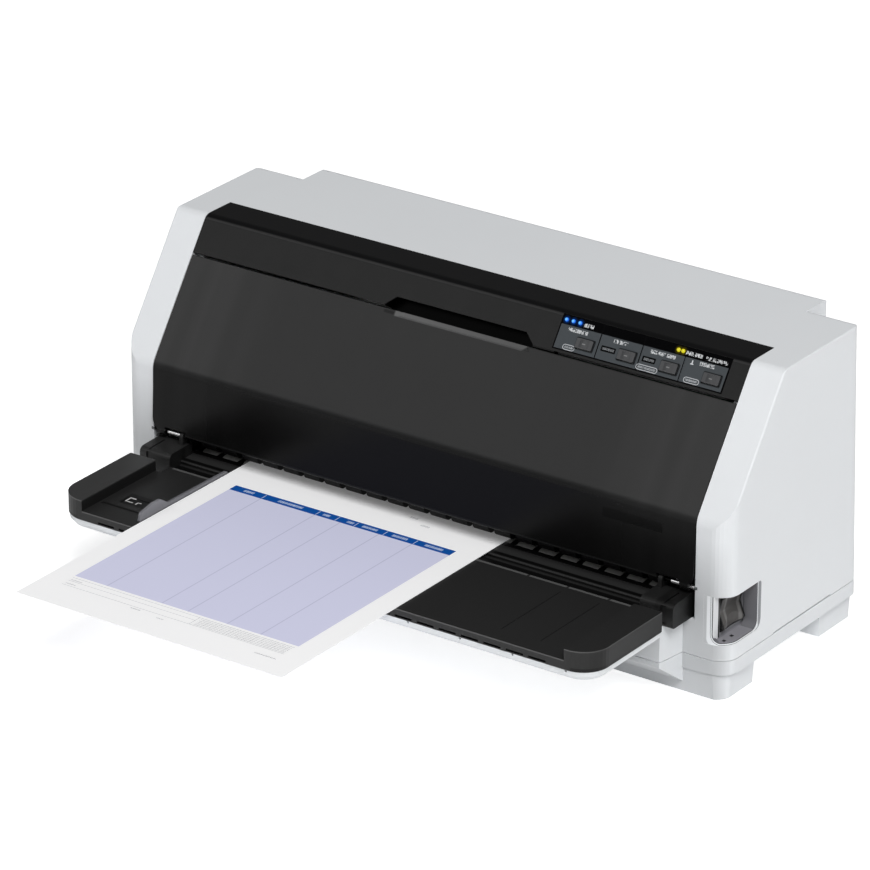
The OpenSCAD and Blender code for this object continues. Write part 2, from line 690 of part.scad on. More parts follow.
module power_rocker() color([0.28, 0.28, 0.29]) difference() {
  union() {
    rotate([90, 0, 0]) translate([0, 0, -33]) linear_extrude(25)
      polygon(rounded([[220, 47.4, 1], [220.5, 69.6, 1], [231, 69.2, 1.2], [228.6, 59, 3],
          [233, 47.4, 1.2]]));
    rocker_axle(6, 35, 1.5);
  }
  // Shallow dish across the face
  translate([262, 20.5, 40]) cylinder(h = 40, r = 32, $fn = 96);
}

// ---------- chassis and paper feed ----------

frame_outline = [[8, 15, 0], [8, 92, 6], [36, 132, 8], [138, 132, 8], [146, 100, 6], [146, 15, 0]];

// Steel side plate, its inner face at x and its thickness outwards
module side_frame(side) {
  x0 = side > 0 ? frame_x : -frame_x - frame_t;
  difference() {
    union() {
      across(x0, x0 + frame_t) polygon(rounded(frame_outline));
      // Shelves for the pulleys and for the ribbon cartridge
      block([side > 0 ? pulley_x - 24 : -frame_x - 0.1, 96, 109.4],
          [side > 0 ? frame_x + 0.1 : -pulley_x + 24, 136, 111]);
      block([side > 0 ? 178 : -frame_x - 0.1, 12, cartridge_z - 1.8],
          [side > 0 ? frame_x + 0.1 : -178, 34, cartridge_z]);
    }
    bar_x(x0 - 1, x0 + 4, platen_c, platen_shaft_r + 2);
    for (c = [front_c, rear_c]) bar_x(x0 - 1, x0 + 4, c, feed_shaft_r + run_fit);
    for (y = [front_c[0], rear_c[0]]) bar_x(x0 - 1, x0 + 4, [y, pinch_z], pinch_shaft_r + run_fit);
    bar_x(x0 - 1, x0 + 4, carriage_c, carriage_shaft_r);
    if (side < 0) bar_x(x0 - 1, x0 + 4, pinion_c, 5);
    if (side > 0) translate([pulley_x, pulley_y, 100]) cylinder(h = 20, r = 4);
    // Lightening window
    across(x0 - 1, x0 + 4) polygon(rounded([[104, 96, 5], [104, 106, 4], [134, 106, 4], [134, 96, 5]]));
    across(x0 - 1, x0 + 4) polygon(rounded([[38, 100, 6], [48, 122, 6], [86, 122, 6], [86, 100, 6]]));
  }
}

module left_frame() color(steel) {
  side_frame(-1);
  // Studs that carry the loose gears
  for (c = [front_idler_c, rear_idler_c, transfer_c]) {
    bar_x(gear_x - 4.4, -frame_x - frame_t + 0.1, c, 2);
    bar_x(gear_x - 4.6, gear_x - 3.6, c, 3.2);
    bar_x(gear_x + 3.4, -frame_x - frame_t + 0.1, c, 3.4);
  }
  // Spindle of the idler pulley
  translate([-pulley_x, pulley_y, belt_z - 2.5]) cylinder(h = 12, r = 2);
  translate([-pulley_x, pulley_y, belt_z - 3.4]) cylinder(h = 1, r = 3.4);
}

module right_frame() color(steel) side_frame(1);

module chassis_base() color(steel) difference() {
  union() {
    block([-frame_x - frame_t, 8, 13.5], [frame_x + frame_t, 146, 15]);
    block([-frame_x, 8, 14], [frame_x, 9.5, 22]);
    block([-frame_x, 142, 14], [frame_x, 143.5, 22]);
  }
  for (x = [-150:50:150]) translate([x, 88, 0]) block([-16, -34, 10], [16, 34, 20]);
}

// Black bed with windows for the rollers; the paper slides over its ribs
module paper_bed() color(black) difference() {
  union() {
    block([-190, 25.5, 58.4], [190, 150, 60.6]);
    for (x = [-187:11:187]) for (y = [[26, 38], [66, 79], [95.5, 150]])
      block([x - 0.7, y[0], 60.4], [x + 0.7, y[1], paper_z - 0.6]);
    both_sides() block([188, 25.5, 59.2], [frame_x, 137, 60.6]);
  }
  block([-188.5, 38, 50], [188.5, 66, 70]);
  block([-188.5, 79, 50], [188.5, 95.5, 70]);
  both_sides() block([188, 79, 50], [190.5, 95.5, 59.2]);
}

// Shaft with a row of sleeves
module sleeve_roller(c, shaft_r, sleeve_r, sleeve_w, x0, x1) {
  bar_x(x0, x1, c, shaft_r);
  for (k = [-11:10]) bar_x(17 * k + 8.5 - sleeve_w / 2, 17 * k + 8.5 + sleeve_w / 2, c, sleeve_r);
}

module platen_roller() color(rubber) {
  bar_x(-186, 186, platen_c, platen_r);
  bar_x(gear_x - 3.4, frame_x + 5, platen_c, platen_shaft_r);
  gear_at(platen_teeth, platen_c, platen_phase, platen_shaft_r - 0.2);
}

// Flanged bushes pressed into the side frames
module platen_bushes() color("goldenrod") both_sides() difference() {
  union() {
    bar_x(frame_x - 0.6, frame_x + frame_t + 0.4, platen_c, platen_shaft_r + 2);
    bar_x(frame_x - 2, frame_x - 0.05, platen_c, platen_shaft_r + 3.6);
  }
  bar_x(frame_x - 3, frame_x + 6, platen_c, platen_shaft_r + run_fit);
}

module front_roller() color(grey) {
  sleeve_roller(front_c, feed_shaft_r, feed_r, 12.5, gear_x - 3.4, frame_x + 4);
  gear_at(feed_teeth, front_c, front_phase, feed_shaft_r - 0.2);
}

module rear_roller() color(grey) {
  sleeve_roller(rear_c, feed_shaft_r, feed_r, 12.5, gear_x - 3.4, frame_x + 4);
  gear_at(feed_teeth, rear_c, rear_phase, feed_shaft_r - 0.2);
}

module front_pinch_rollers() color(grey)
  sleeve_roller([front_c[0], pinch_z], pinch_shaft_r, pinch_r, 12.5, -frame_x - 3.5, frame_x + 3.5);

module rear_pinch_rollers() color(grey)
  sleeve_roller([rear_c[0], pinch_z], pinch_shaft_r, pinch_r, 12.5, -frame_x - 3.5, frame_x + 3.5);

module front_idler_gear() color(ivory) gear_at(idler_teeth, front_idler_c, front_idler_phase, 2.05);
module rear_idler_gear() color(ivory) gear_at(idler_teeth, rear_idler_c, rear_idler_phase, 2.05);

module transfer_gear() color(ivory) difference() {
  gear_at(transfer_teeth, transfer_c, transfer_phase, 2.05);
  // Web thinned between hub and rim, with round windows
  translate([gear_x, transfer_c[0], transfer_c[1]]) rotate([0, 90, 0]) for (a = [0:60:300])
    rotate(a) translate([15, 0, 0]) cylinder(h = 20, r = 5.5, center = true);
}

module motor_pinion() color("goldenrod") {
  gear_at(pinion_teeth, pinion_c, pinion_phase, 1.4);
  bar_x(gear_x - 3.2, -frame_x + 1, pinion_c, 1.5);
}

module feed_motor() color([0.3, 0.3, 0.32]) difference() {
  union() {
    bar_x(-frame_x + 1.2, -frame_x + 21, pinion_c, 14.8);
    across(-frame_x, -frame_x + 1.4) polygon(rounded([[pinion_c[0] - 17, pinion_c[1] - 13, 3],
      [pinion_c[0] - 17, pinion_c[1] + 13, 3], [pinion_c[0] + 17, pinion_c[1] + 13, 3],
          [pinion_c[0] + 17, pinion_c[1] - 13, 3]]));
    bar_x(-frame_x + 20.5, -frame_x + 23, pinion_c, 5);
  }
  bar_x(-frame_x - 1, -frame_x + 1.6, pinion_c, 1.5 + run_fit);
}

// ---------- carriage ----------

module carriage_shaft() color([0.80, 0.81, 0.82])
  bar_x(-frame_x - frame_t - 2, frame_x + frame_t + 2, carriage_c, carriage_shaft_r);

module rear_rail() color(steel) {
  block([-frame_x, 98, 84], [frame_x, 116, 85.6]);
  block([-frame_x, 114.4, 72], [frame_x, 116, 84.1]);
}

head_c = [0, platen_y];
head_half = 22;

module carriage() color([0.20, 0.20, 0.21]) difference() {
  union() {
    across(-head_half, head_half) polygon(rounded([[67, 80, 4], [67, 95, 3], [92, 96, 3], [96, 88, 2],
        [92, 77.5, 4], [76, 77.5, 4]]));
    // Cradle for the print head
    block([-head_half, 35, 83], [head_half, 70, 87]);
    for (x = [-head_half, head_half - 3]) block([x, 35, 83], [x + 3, 70, 96]);
    // Shoe over the rear rail, and the belt clamp
    block([-head_half + 4, 90, 85.9], [head_half - 4, 108, 89]);
    block([-14, 103, 88], [14, 111, 108.4]);
  }
  bar_x(-40, 40, carriage_c, carriage_shaft_r + run_fit);
  // Opening for the head's nose
  translate([head_c[0], head_c[1], 70]) cylinder(h = 30, r = 13.2);
  // Belt slot
  block([-20, pulley_y - pulley_r - belt_t - 0.5, belt_z - 0.5], [20, pulley_y - pulley_r + 0.5, 120]);
}

// Print head with cooling fins, its nose just above the ribbon
module print_head() color([0.36, 0.37, 0.39]) translate([head_c[0], head_c[1], 0]) {
  translate([0, 0, 87]) cylinder(h = 6, r = 15);
  for (i = [0:5]) translate([0, 0, 96.8 + 4 * i]) cylinder(h = 1.6, r = 17.5);
  translate([0, 0, 92]) cylinder(h = 28, r = 11);
  translate([0, 0, 82]) cylinder(h = 6, r = 12.9);
  translate([0, 0, 70]) cylinder(h = 12.2, r1 = 7, r2 = 12.5);
  block([-5.5, -2.5, paper_z + 1.9], [5.5, 2.5, 71]);
  // Flat cable plug on top
  block([-14, -4, 119.8], [14, 4, 124]);
}

module carriage_motor() color([0.3, 0.3, 0.32]) difference() {
  union() {
    translate([pulley_x, pulley_y, 112.4]) cylinder(h = 24, r = 18);
    translate([pulley_x, pulley_y, 111]) linear_extrude(1.6)
      polygon(rounded([[-22, -19, 4], [-22, 19, 4], [15.5, 19, 4], [15.5, -19, 4]]));
    translate([pulley_x, pulley_y, 136]) cylinder(h = 2.4, r = 5);
  }
  translate([pulley_x, pulley_y, 110]) cylinder(h = 3.4, r = 1.6 + run_fit);
}

module flanged_pulley() {
  translate([0, 0, belt_z - 0.6]) cylinder(h = belt_w + 1.2, r = pulley_r);
  for (z = [belt_z - 1.8, belt_z + belt_w + 0.5])
      translate([0, 0, z]) cylinder(h = 1.3, r = pulley_r + 2.4);
}

module motor_pulley() color(ivory) translate([pulley_x, pulley_y, 0]) {
  flanged_pulley();
  translate([0, 0, 96]) cylinder(h = 16.8, r = 1.6);
}

module idler_pulley() color(ivory) translate([-pulley_x, pulley_y, 0]) difference() {
  flanged_pulley();
  translate([0, 0, 90]) cylinder(h = 30, r = 2.05);
}

// Loop of the belt on its two pulleys, in plan
module belt_plan(r) {
  for (side = [-1, 1]) translate([side * pulley_x, pulley_y]) circle(r);
  translate([-pulley_x, pulley_y - r]) square([2 * pulley_x, 2 * r]);
}

module carriage_belt() color(rubber) translate([0, 0, belt_z]) linear_extrude(belt_w) difference() {
  belt_plan(pulley_r + 0.05 + belt_t);
  belt_plan(pulley_r + 0.05);
}

ribbon_z = paper_z + paper_t + 0.8;
knob_c = [150, 21.5];

module ribbon_cartridge() color([0.16, 0.16, 0.17]) {
  difference() {
    union() {
      translate([0, 0, cartridge_z]) linear_extrude(22) polygon(rounded([[-184, 11, 3], [-184, 32, 3],
          [184, 32, 3], [184, 11, 3]]));
      both_sides() {
        across(174.5, 184) polygon(rounded([[26, 96, 3], [60, 96, 8], [60, 63.8, 3], [43, 63.8, 3],
            [43, 77, 0], [26, 77, 0]]));
      }
      translate([0, 0, 98.3]) linear_extrude(1.4) polygon(rounded([[-110, 13, 3], [-110, 30, 3],
          [120, 30, 3], [120, 13, 3]]));
    }
    // Spindle hole of the knob, and the ribbon's mouths
    translate([knob_c[0], knob_c[1], 80]) cylinder(h = 30, r = 3 + run_fit);
    both_sides() block([170, 45.2, ribbon_z], [180, 58.8, ribbon_z + 1]);
  }
}

module ribbon_strand() color([0.05, 0.05, 0.06])
  block([-177, 46, ribbon_z], [177, 58, ribbon_z + 0.25]);

module ribbon_knob() color(grey) translate([knob_c[0], knob_c[1], 0]) difference() {
  union() {
    translate([0, 0, 84]) cylinder(h = 18, r = 3);
    translate([0, 0, 98.9]) cylinder(h = 9, r = 8);
  }
  for (a = [0:45:315]) rotate(a) translate([9, 0, 100.5]) cylinder(h = 9, r = 2, $fn = 24);
}

// ---------- electrics ----------

// Connectors on the board's rear side: [x, width, height]
port_boxes = [[30, 68, 13], [98, 12.4, 11], [140, 31, 12.6]];

module main_board() color(board_green) difference() {
  union() {
    block([-42, 159, 106], [172, 160.6, 190]);
    block([-20, 152, 150], [14, 159.1, 176]);
    block([40, 155.5, 148], [70, 159.1, 178]);
    for (x = [90, 108, 126]) translate([x, 159.1, 168]) rotate([90, 0, 0]) cylinder(h = 12, r = 5);
    block([-36, 151, 116], [24, 159.1, 122]);
  }
  for (x = [-34, 164], z = [112, 184]) translate([x, 150, z]) rotate([-90, 0, 0]) cylinder(h = 20, r = 1.6);
}

module interface_ports() color(steel) for (p = port_boxes) translate([p[0], 160.6, port_z]) difference() {
  block([-p[1] / 2, 0, -p[2] / 2], [p[1] / 2, hood_y - 160.6 + 1.4, p[2] / 2]);
  block([-p[1] / 2 + 1.6, 5, -p[2] / 2 + 1.6], [p[1] / 2 - 1.6, 24, p[2] / 2 - 1.6]);
}

module power_supply() color([0.6, 0.6, 0.62]) difference() {
  union() {
    block([201, 52, 58], [233, 137, 134]);
    // Spacers against the right side frame
    for (c = [[62, 66], [60, 127], [125, 70], [125, 127]]) bar_x(frame_x + frame_t, 201.1, c, 3);
  }
  // Rows of vent slots on the outer side
  for (i = [0:9], j = [0:2]) block([232, 60 + 7 * i, 64 + 24 * j], [234, 63 + 7 * i, 82 + 24 * j]);
}

module power_inlet() color(rubber) on_rear(inlet_c[0], inlet_c[1]) difference() {
  union() {
    block([-10, -16, -13.8], [10, 0.1, 13.8]);
    block([-12.5, 0, -16.2], [12.5, 2, 16.2]);
  }
  difference() {
    block([-8, -13, -11.8], [8, 3, 11.8]);
    // Three contact blades, the middle one offset
    for (z = [-7, 0, 7]) block([z == 0 ? 0 : -2, -14, z - 1], [z == 0 ? 4 : 2, -1, z + 1]);
  }
}

// ---------- rear tractor ----------

side_x = 169;
guide_c = [208, 44];
square_r = 4;
lid_hinge_z = 67.6;
unit_y = [152.5, 228];
unit_x = 126;
unit_half = 11;

// Inner face of the notch that takes the rear wall
saddle_y = rear_seam_y - 3.4;

// Two side plates that sit on the lower edge of the rear opening, joined by a bar
module tractor_frame() color(black) {
  for (side = [-1, 1]) difference() {
    x0 = side > 0 ? side_x : -side_x - 3;
    across(x0, x0 + 3) polygon(rounded([[saddle_y - 2.9, 30, 1], [saddle_y - 2.9, 66, 3],
      [tractor_end_y, 58, 8], [tractor_end_y, 34, 8], [200, 26, 6], [rear_seam_y + 0.4, 27, 1],
      [rear_seam_y + 0.4, gear_slot[1], 0], [saddle_y, gear_slot[1], 0], [saddle_y, 30, 1]]));
    bar_x(x0 - 1, x0 + 5, tractor_c, 6 + run_fit);
    bar_x(x0 - 1, x0 + 5, guide_c, 4);
  }
  block([-side_x - 0.1, 212, 29], [side_x + 0.1, 226, 31]);
}

module tractor_drive_shaft() color(steel) {
  block([-side_x + 1, tractor_c[0] - square_r, tractor_c[1] - square_r],
    [side_x - 1, tractor_c[0] + square_r, tractor_c[1] + square_r]);
  bar_x(gear_x - 3, -side_x + 1.1, tractor_c, 6);
  bar_x(side_x - 1.1, side_x + 3.4, tractor_c, 6);
}

// Gear pressed on the drive shaft's round end
module tractor_gear() color(ivory) gear_at(tractor_teeth, tractor_c, tractor_phase, 6);

module tractor_guide_shaft() color(steel) bar_x(-side_x - 4, side_x + 4, guide_c, 4);

// Sprocket unit: two cheeks either side of the pin wheel, and a paper shelf behind them
module tractor_unit(x) color(black) difference() {
  union() {
    for (dx = [-unit_half, unit_half - 3]) across(x + dx, x + dx + 3) polygon(rounded([
        [unit_y[0], 40, 4], [unit_y[0], 61.6, 3],
      [unit_y[1], 56, 6], [unit_y[1], 38, 6], [190, 33, 6], [160, 33, 6]]));
    across(x - unit_half, x + unit_half) polygon(rounded([[184, 40, 2], [184, 58.6, 2],
        [unit_y[1] - 3, 55.4, 2], [unit_y[1] - 3, 38, 3]]));
    // Clamp lever on the guide shaft
    translate([x, guide_c[0], guide_c[1]]) block([-3, -3, -18], [3, 3, -5]);
  }
  bar_x(x - 20, x + 20, guide_c, 4 + run_fit);
  bar_x(x - 20, x + 20, tractor_c, 7.2);
}

// Pin wheel that slides along the square shaft
module pin_wheel(x) color(ivory) translate([x, tractor_c[0], tractor_c[1]])
    rotate([0, 90, 0]) difference() {
  union() {
    cylinder(h = 2 * unit_half - 7, r = wheel_r - 0.2, center = true, $fn = 72);
    cylinder(h = 2 * unit_half - 0.4, r = 7.12, center = true);
    for (a = [0:60:300]) rotate(a + 30) translate([wheel_r - 0.6, 0, 0]) rotate([0, 90, 0])
        cylinder(h = 3, r1 = 2, r2 = 1.2, $fn = 24);
  }
  cube([2 * square_r + 0.16, 2 * square_r + 0.16, 60], center = true);
}

// Hinged lid that keeps the form on the pins, with a slot for them; side tells where its hinge is
module tractor_lid(x, side) color([0.22, 0.22, 0.23]) {
  hx = x + side * (unit_half + 3);
  difference() {
    union() {
      block([x - unit_half, unit_y[0] + 4, lid_hinge_z - 1.6], [x + unit_half, 206, lid_hinge_z + 0.6]);
      translate([hx, 158, lid_hinge_z]) rotate([-90, 0, 0]) cylinder(h = 44, r = 2.8);
      block([min(hx, x + side * unit_half) - 0.1, 158, lid_hinge_z - 1],
          [max(hx, x + side * unit_half) + 0.1, 202, lid_hinge_z + 0.6]);
    }
    block([x - 2.6, unit_y[0] + 7, lid_hinge_z - 4], [x + 2.6, 182, lid_hinge_z + 4]);
    translate([hx, 150, lid_hinge_z]) rotate([-90, 0, 0]) cylinder(h = 60, r = 1.55);
  }
}

// Pin and ears on the unit's outer cheek that carry the lid
module lid_hinge(x, side) color(black) {
  hx = x + side * (unit_half + 3);
  translate([hx, 154, lid_hinge_z]) rotate([-90, 0, 0]) cylinder(h = 52, r = 1.5);
  for (y = [154, 203]) {
    block([min(x + side * (unit_half - 2), hx + side * 2), y, 59.5],
      [max(x + side * (unit_half - 2), hx + side * 2), y + 3, lid_hinge_z - 2.6]);
    block([hx - 2, y, 59.5], [hx + 2, y + 3, lid_hinge_z + 2]);
  }
}

module left_tractor() {
  tractor_unit(-unit_x);
  lid_hinge(-unit_x, -1);
}

module right_tractor() {
  tractor_unit(unit_x);
  lid_hinge(unit_x, 1);
}

module left_tractor_lid() tractor_lid(-unit_x, -1);
module right_tractor_lid() tractor_lid(unit_x, 1);
module left_pin_wheel() pin_wheel(-unit_x);
module right_pin_wheel() pin_wheel(unit_x);

lower_case();
upper_case();
front_bar();
control_panel();
status_lights();
panel_button(0);  // panel_button_1
panel_button(1);  // panel_button_2
panel_button(2);  // panel_button_3
panel_button(3);  // panel_button_4
front_cover();
cover_pins();
paper_entrance();
paper_table();
table_base();
edge_guide();
paper_sheet();
switch_bezel();
power_rocker();
rubber_feet();
case_screws();
chassis_base();
left_frame();
right_frame();
paper_bed();
platen_roller();
platen_bushes();
front_roller();
front_pinch_rollers();
rear_roller();
rear_pinch_rollers();
front_idler_gear();
rear_idler_gear();
transfer_gear();
motor_pinion();
feed_motor();
carriage_shaft();
rear_rail();
carriage();
print_head();
carriage_motor();
motor_pulley();
idler_pulley();
carriage_belt();
ribbon_cartridge();
ribbon_strand();
ribbon_knob();
main_board();
interface_ports();
power_supply();
power_inlet();
tractor_frame();
tractor_drive_shaft();
tractor_gear();
tractor_guide_shaft();
left_tractor();
left_tractor_lid();
left_pin_wheel();
right_tractor();
right_tractor_lid();
right_pin_wheel();
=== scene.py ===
"""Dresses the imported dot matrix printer: studio, camera, materials and fine pieces, in the CAD's frame."""
import math
import bmesh
import bpy
from mathutils import Euler, Matrix, Vector


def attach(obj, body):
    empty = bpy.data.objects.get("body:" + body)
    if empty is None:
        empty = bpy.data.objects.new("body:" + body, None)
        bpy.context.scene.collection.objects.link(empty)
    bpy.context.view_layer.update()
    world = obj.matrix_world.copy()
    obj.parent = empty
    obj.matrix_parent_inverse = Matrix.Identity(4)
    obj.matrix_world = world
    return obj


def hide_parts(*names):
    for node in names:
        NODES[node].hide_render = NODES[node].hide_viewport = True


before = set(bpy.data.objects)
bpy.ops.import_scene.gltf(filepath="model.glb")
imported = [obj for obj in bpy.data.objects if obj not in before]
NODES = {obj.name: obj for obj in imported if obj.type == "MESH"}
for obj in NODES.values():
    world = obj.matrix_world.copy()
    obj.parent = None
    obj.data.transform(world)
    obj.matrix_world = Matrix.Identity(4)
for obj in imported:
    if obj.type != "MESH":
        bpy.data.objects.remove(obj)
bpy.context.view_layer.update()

MM = 0.001

# All sizes below are in mm, in the frame's own axes.
# Slope of the front: its foot is at BREAK_Z on the front face and its fold at (FOLD_Y, BODY_H)
BREAK_Z, FOLD_Y, BODY_H = 123.2, 61.2, 210.25
SLOPE = math.atan2(BODY_H - BREAK_Z, FOLD_Y)
# Half width of the case and of its feet, and the radius of the upright front corners
CASE_HALF, FEET_HALF, CORNER_R = 240.0, 237.0, 13.0
# Underside of the case's skirt, over the feet
SKIRT_Z = 19.2

# Status lights, keys and the dashes on them: places along x, and distances up the slope
LIGHT_XS, LIGHT_UP = (77.3, 82.5, 87.7, 162.6, 166.0), 101.2
KEY_XS, KEY_UPS = (96.0, 128.1, 160.1, 192.1), (84.1, 92.5)
DASH_XS, DASH_UPS = (96, 128, 160, 192), (88.0, 88.7)


# ---------- studio ----------

# Camera solved from the photograph: place in metres, direction of view, and roll in degrees
CAMERA_PLACE = (1.93298, -2.72052, 1.61084)
CAMERA_LOOK = (-0.52648, 0.74674, -0.40644)
CAMERA_ROLL = 0.0623
LENS, SENSOR = 234.0, 36.0
# Floor: half its width in metres, how much light it gives off, and how bright the camera sees it
FLOOR_HALF, FLOOR_LIGHT, FLOOR_SEEN = 9, 0.26, 0.66
AIR_LIGHT = 0.12
# Lamps: name, place and diameter in metres, power in watts
LAMPS = (("key", (2.95, -2.6, 4.75), 3.4, 290),
         ("left", (-2.1, -2.5, 2.3), 2.2, 18),
         ("back", (0.6, 2.8, 2.6), 2.0, 12))
# Point that all lamps face, in metres
LAMP_AIM = (0, 0, 0.1)


def place_object(name, data):
    """Object of that name and data, linked into the scene."""
    made = bpy.data.objects.new(name, data)
    bpy.context.scene.collection.objects.link(made)
    return made


def add_camera():
    lens = bpy.data.cameras.new("studio_camera")
    lens.lens = LENS
    lens.sensor_width = SENSOR
    lens.clip_start = 0.05
    lens.clip_end = 60
    camera = place_object("studio_camera", lens)
    roll = Euler((0, 0, math.radians(CAMERA_ROLL))).to_quaternion()
    turn = Vector(CAMERA_LOOK).to_track_quat("-Z", "Y") @ roll
    camera.matrix_world = Matrix.Translation(CAMERA_PLACE) @ turn.to_matrix().to_4x4()
    bpy.context.scene.camera = camera


def add_floor():
    """Pale floor that shines a little from below and looks plain white to the camera."""
    mesh = bpy.data.meshes.new("studio_floor")
    half = FLOOR_HALF
    corners = [(-half, -half, 0), (half, -half, 0), (half, half, 0), (-half, half, 0)]
    mesh.from_pydata(corners, [], [(0, 1, 2, 3)])
    floor = place_object("studio_floor", mesh)
    pale = Surface("studio_pale", (0.85, 0.85, 0.85), 0.9)
    seen = pale.node("LightPath").outputs["Is Camera Ray"]
    pale.set(emission_color=(1, 1, 1, 1), emission_strength=pale.blend(seen, FLOOR_LIGHT, FLOOR_SEEN),
             specular_ior_level=0.1)
    floor.data.materials.append(pale.material)


def add_light():
    """Faint light from all round, and three soft lamps."""
    world = bpy.data.worlds.new("studio_air")
    world.use_nodes = True
    air = world.node_tree.nodes["Background"]
    air.inputs["Color"].default_value = (1.0, 1.0, 1.0, 1)
    air.inputs["Strength"].default_value = AIR_LIGHT
    bpy.context.scene.world = world
    bpy.context.scene.view_settings.view_transform = "Standard"
    for name, place, size, power in LAMPS:
        light = bpy.data.lights.new("studio_" + name, "AREA")
        light.shape = "DISK"
        light.size = size
        light.energy = power
        lamp = place_object("studio_" + name, light)
        lamp.location = place
        lamp.rotation_euler = (Vector(LAMP_AIM) - Vector(place)).to_track_quat("-Z", "Y").to_euler()


# ---------- materials ----------

class Surface:
    """A principled material built up by small steps; coordinates are the piece's own, in millimetres."""

    def __init__(self, name, colour, rough, metal=0.0):
        self.material = bpy.data.materials.new(name)
        self.material.use_nodes = True
        self.tree = self.material.node_tree
        self.tree.nodes.clear()
        out = self.node("OutputMaterial")
        self.shader = self.node("BsdfPrincipled")
        self.tree.links.new(self.shader.outputs["BSDF"], out.inputs["Surface"])
        self.set(base_color=(*colour, 1), roughness=rough, metallic=metal)
        self.material.diffuse_color = (*colour, 1)
        self.colour = (*colour, 1)
        self.height = None
        scale = self.node("VectorMath", operation="SCALE")
        self.tree.links.new(self.node("TexCoord").outputs["Object"], scale.inputs[0])
        scale.inputs["Scale"].default_value = 1 / MM
        self.mm = scale.outputs[0]
        split = self.node("SeparateXYZ")
        self.tree.links.new(self.mm, split.inputs[0])
        self.x, self.y, self.z = split.outputs

    def node(self, kind, **props):
        """New shader node of that kind, with its properties set."""
        made = self.tree.nodes.new("ShaderNode" + kind)
        for key, value in props.items():
            setattr(made, key, value)
        return made

    def plug(self, socket, value):
        """Links an output into the socket, or sets the socket to a number or colour."""
        if hasattr(value, "links"):
            self.tree.links.new(value, socket)
        else:
            socket.default_value = value

    def set(self, **values):
        """Sets or links the shader's own sockets, by their names in small letters."""
        for key, value in values.items():
            name = key.replace("_", " ").title().replace("Ior", "IOR")
            self.plug(self.shader.inputs[name], value)

    # Sums

    def math(self, kind, *values):
        """Result of one sum of that kind; each value is a number or an output."""
        made = self.node("Math", operation=kind)
        for socket, value in zip(made.inputs, values):
            self.plug(socket, value)
        return made.outputs[0]

    def fold(self, kind, parts):
        """One kind of sum over all parts, from the left."""
        total = parts[0]
        for part in parts[1:]:
            total = self.math(kind, total, part)
        return total

    def all(self, *parts):
        """Product, so 1 where every part is 1."""
        return self.fold("MULTIPLY", parts)

    def any(self, *parts):
        """1 where at least one part is 1."""
        return self.fold("MAXIMUM", parts)

    def least(self, *values):
        """Smallest of the values."""
        return self.fold("MINIMUM", values)

    def flip(self, part):
        """1 where part is 0, and 0 where it is 1."""
        return self.math("SUBTRACT", 1.0, part)

    def below(self, value, limit):
        """1 where value is under the limit, with a sharp edge."""
        return self.math("LESS_THAN", value, limit)

    def blend(self, part, a, b):
        """Number a where part is 0 and b where it is 1."""
        return self.math("ADD", a, self.math("MULTIPLY", part, self.math("SUBTRACT", b, a)))

    def mix(self, part, a, b):
        """Colour a where part is 0 and b where it is 1."""
        made = self.node("Mix", data_type="RGBA")
        self.plug(made.inputs["Factor"], part)
        for name, value in (("A", a), ("B", b)):
            socket = [s for s in made.inputs if s.name == name and s.type == "RGBA"][0]
            self.plug(socket, value if hasattr(value, "links") else (*value[:3], 1))
        return [s for s in made.outputs if s.type == "RGBA"][0]

    # Textures

    def stretched(self, stretch):
        """Coordinates in mm, each multiplied by its part of stretch."""
        where = self.node("VectorMath", operation="MULTIPLY")
        self.plug(where.inputs[0], self.mm)
        where.inputs[1].default_value = stretch
        return where.outputs[0]

    def noise(self, size, detail=2.0, rough=0.5, stretch=(1, 1, 1)):
        """Noise from 0 to 1 with features of that size in mm."""
        made = self.node("TexNoise")
        self.plug(made.inputs["Vector"], self.stretched(stretch))
        made.inputs["Scale"].default_value = 1 / size
        made.inputs["Detail"].default_value = detail
        made.inputs["Roughness"].default_value = rough
        return made.outputs["Fac"]

    def cells(self, size):
        """Distance to the nearest of many scattered points, that far apart in mm."""
        made = self.node("TexVoronoi", feature="F1")
        self.plug(made.inputs["Vector"], self.stretched((1, 1, 1)))
        made.inputs["Scale"].default_value = 1 / size
        return made.outputs["Distance"]

    def strokes(self, u, size, share=0.5):
        """Uneven strokes along u, like print too small to read."""
        made = self.node("TexNoise", noise_dimensions="1D")
        self.plug(made.inputs["W"], self.math("DIVIDE", u, size))
        made.inputs["Detail"].default_value = 2
        start = 0.5 + (0.5 - share) * 0.3
        return self.over(made.outputs["Fac"], start, start + 0.03)

    def stripes(self, v, pitch, share=0.5):
        """1 over that share of each pitch."""
        turn = self.math("FRACT", self.math("DIVIDE", v, pitch))
        return self.below(turn, share)

    # Shapes drawn on a surface

    def over(self, value, low, high):
        """0 up to low, rising to 1 at high; with low above high it falls the other way."""
        made = self.node("MapRange", clamp=True)
        for socket, number in zip(("Value", "From Min", "From Max"), (value, low, high)):
            self.plug(made.inputs[socket], number)
        return made.outputs["Result"]

    def within(self, value, low, high, soft=0.15):
        """1 between low and high, fading over soft."""
        return self.all(self.over(value, low - soft / 2, low + soft / 2),
                        self.flip(self.over(value, high - soft / 2, high + soft / 2)))

    def bands(self, value, centres, half, soft=0.15):
        """1 within half of any of the centres."""
        return self.any(*(self.within(value, centre - half, centre + half, soft) for centre in centres))

    def patch(self, u, u0, u1, v, v0, v1, soft=0.15):
        """1 inside a box of u and v."""
        return self.all(self.within(u, u0, u1, soft), self.within(v, v0, v1, soft))

    def patches(self, u, v, boxes, soft=0.15):
        """1 inside any of the boxes (u0, u1, v0, v1)."""
        return self.any(*(self.patch(u, u0, u1, v, v0, v1, soft) for u0, u1, v0, v1 in boxes))

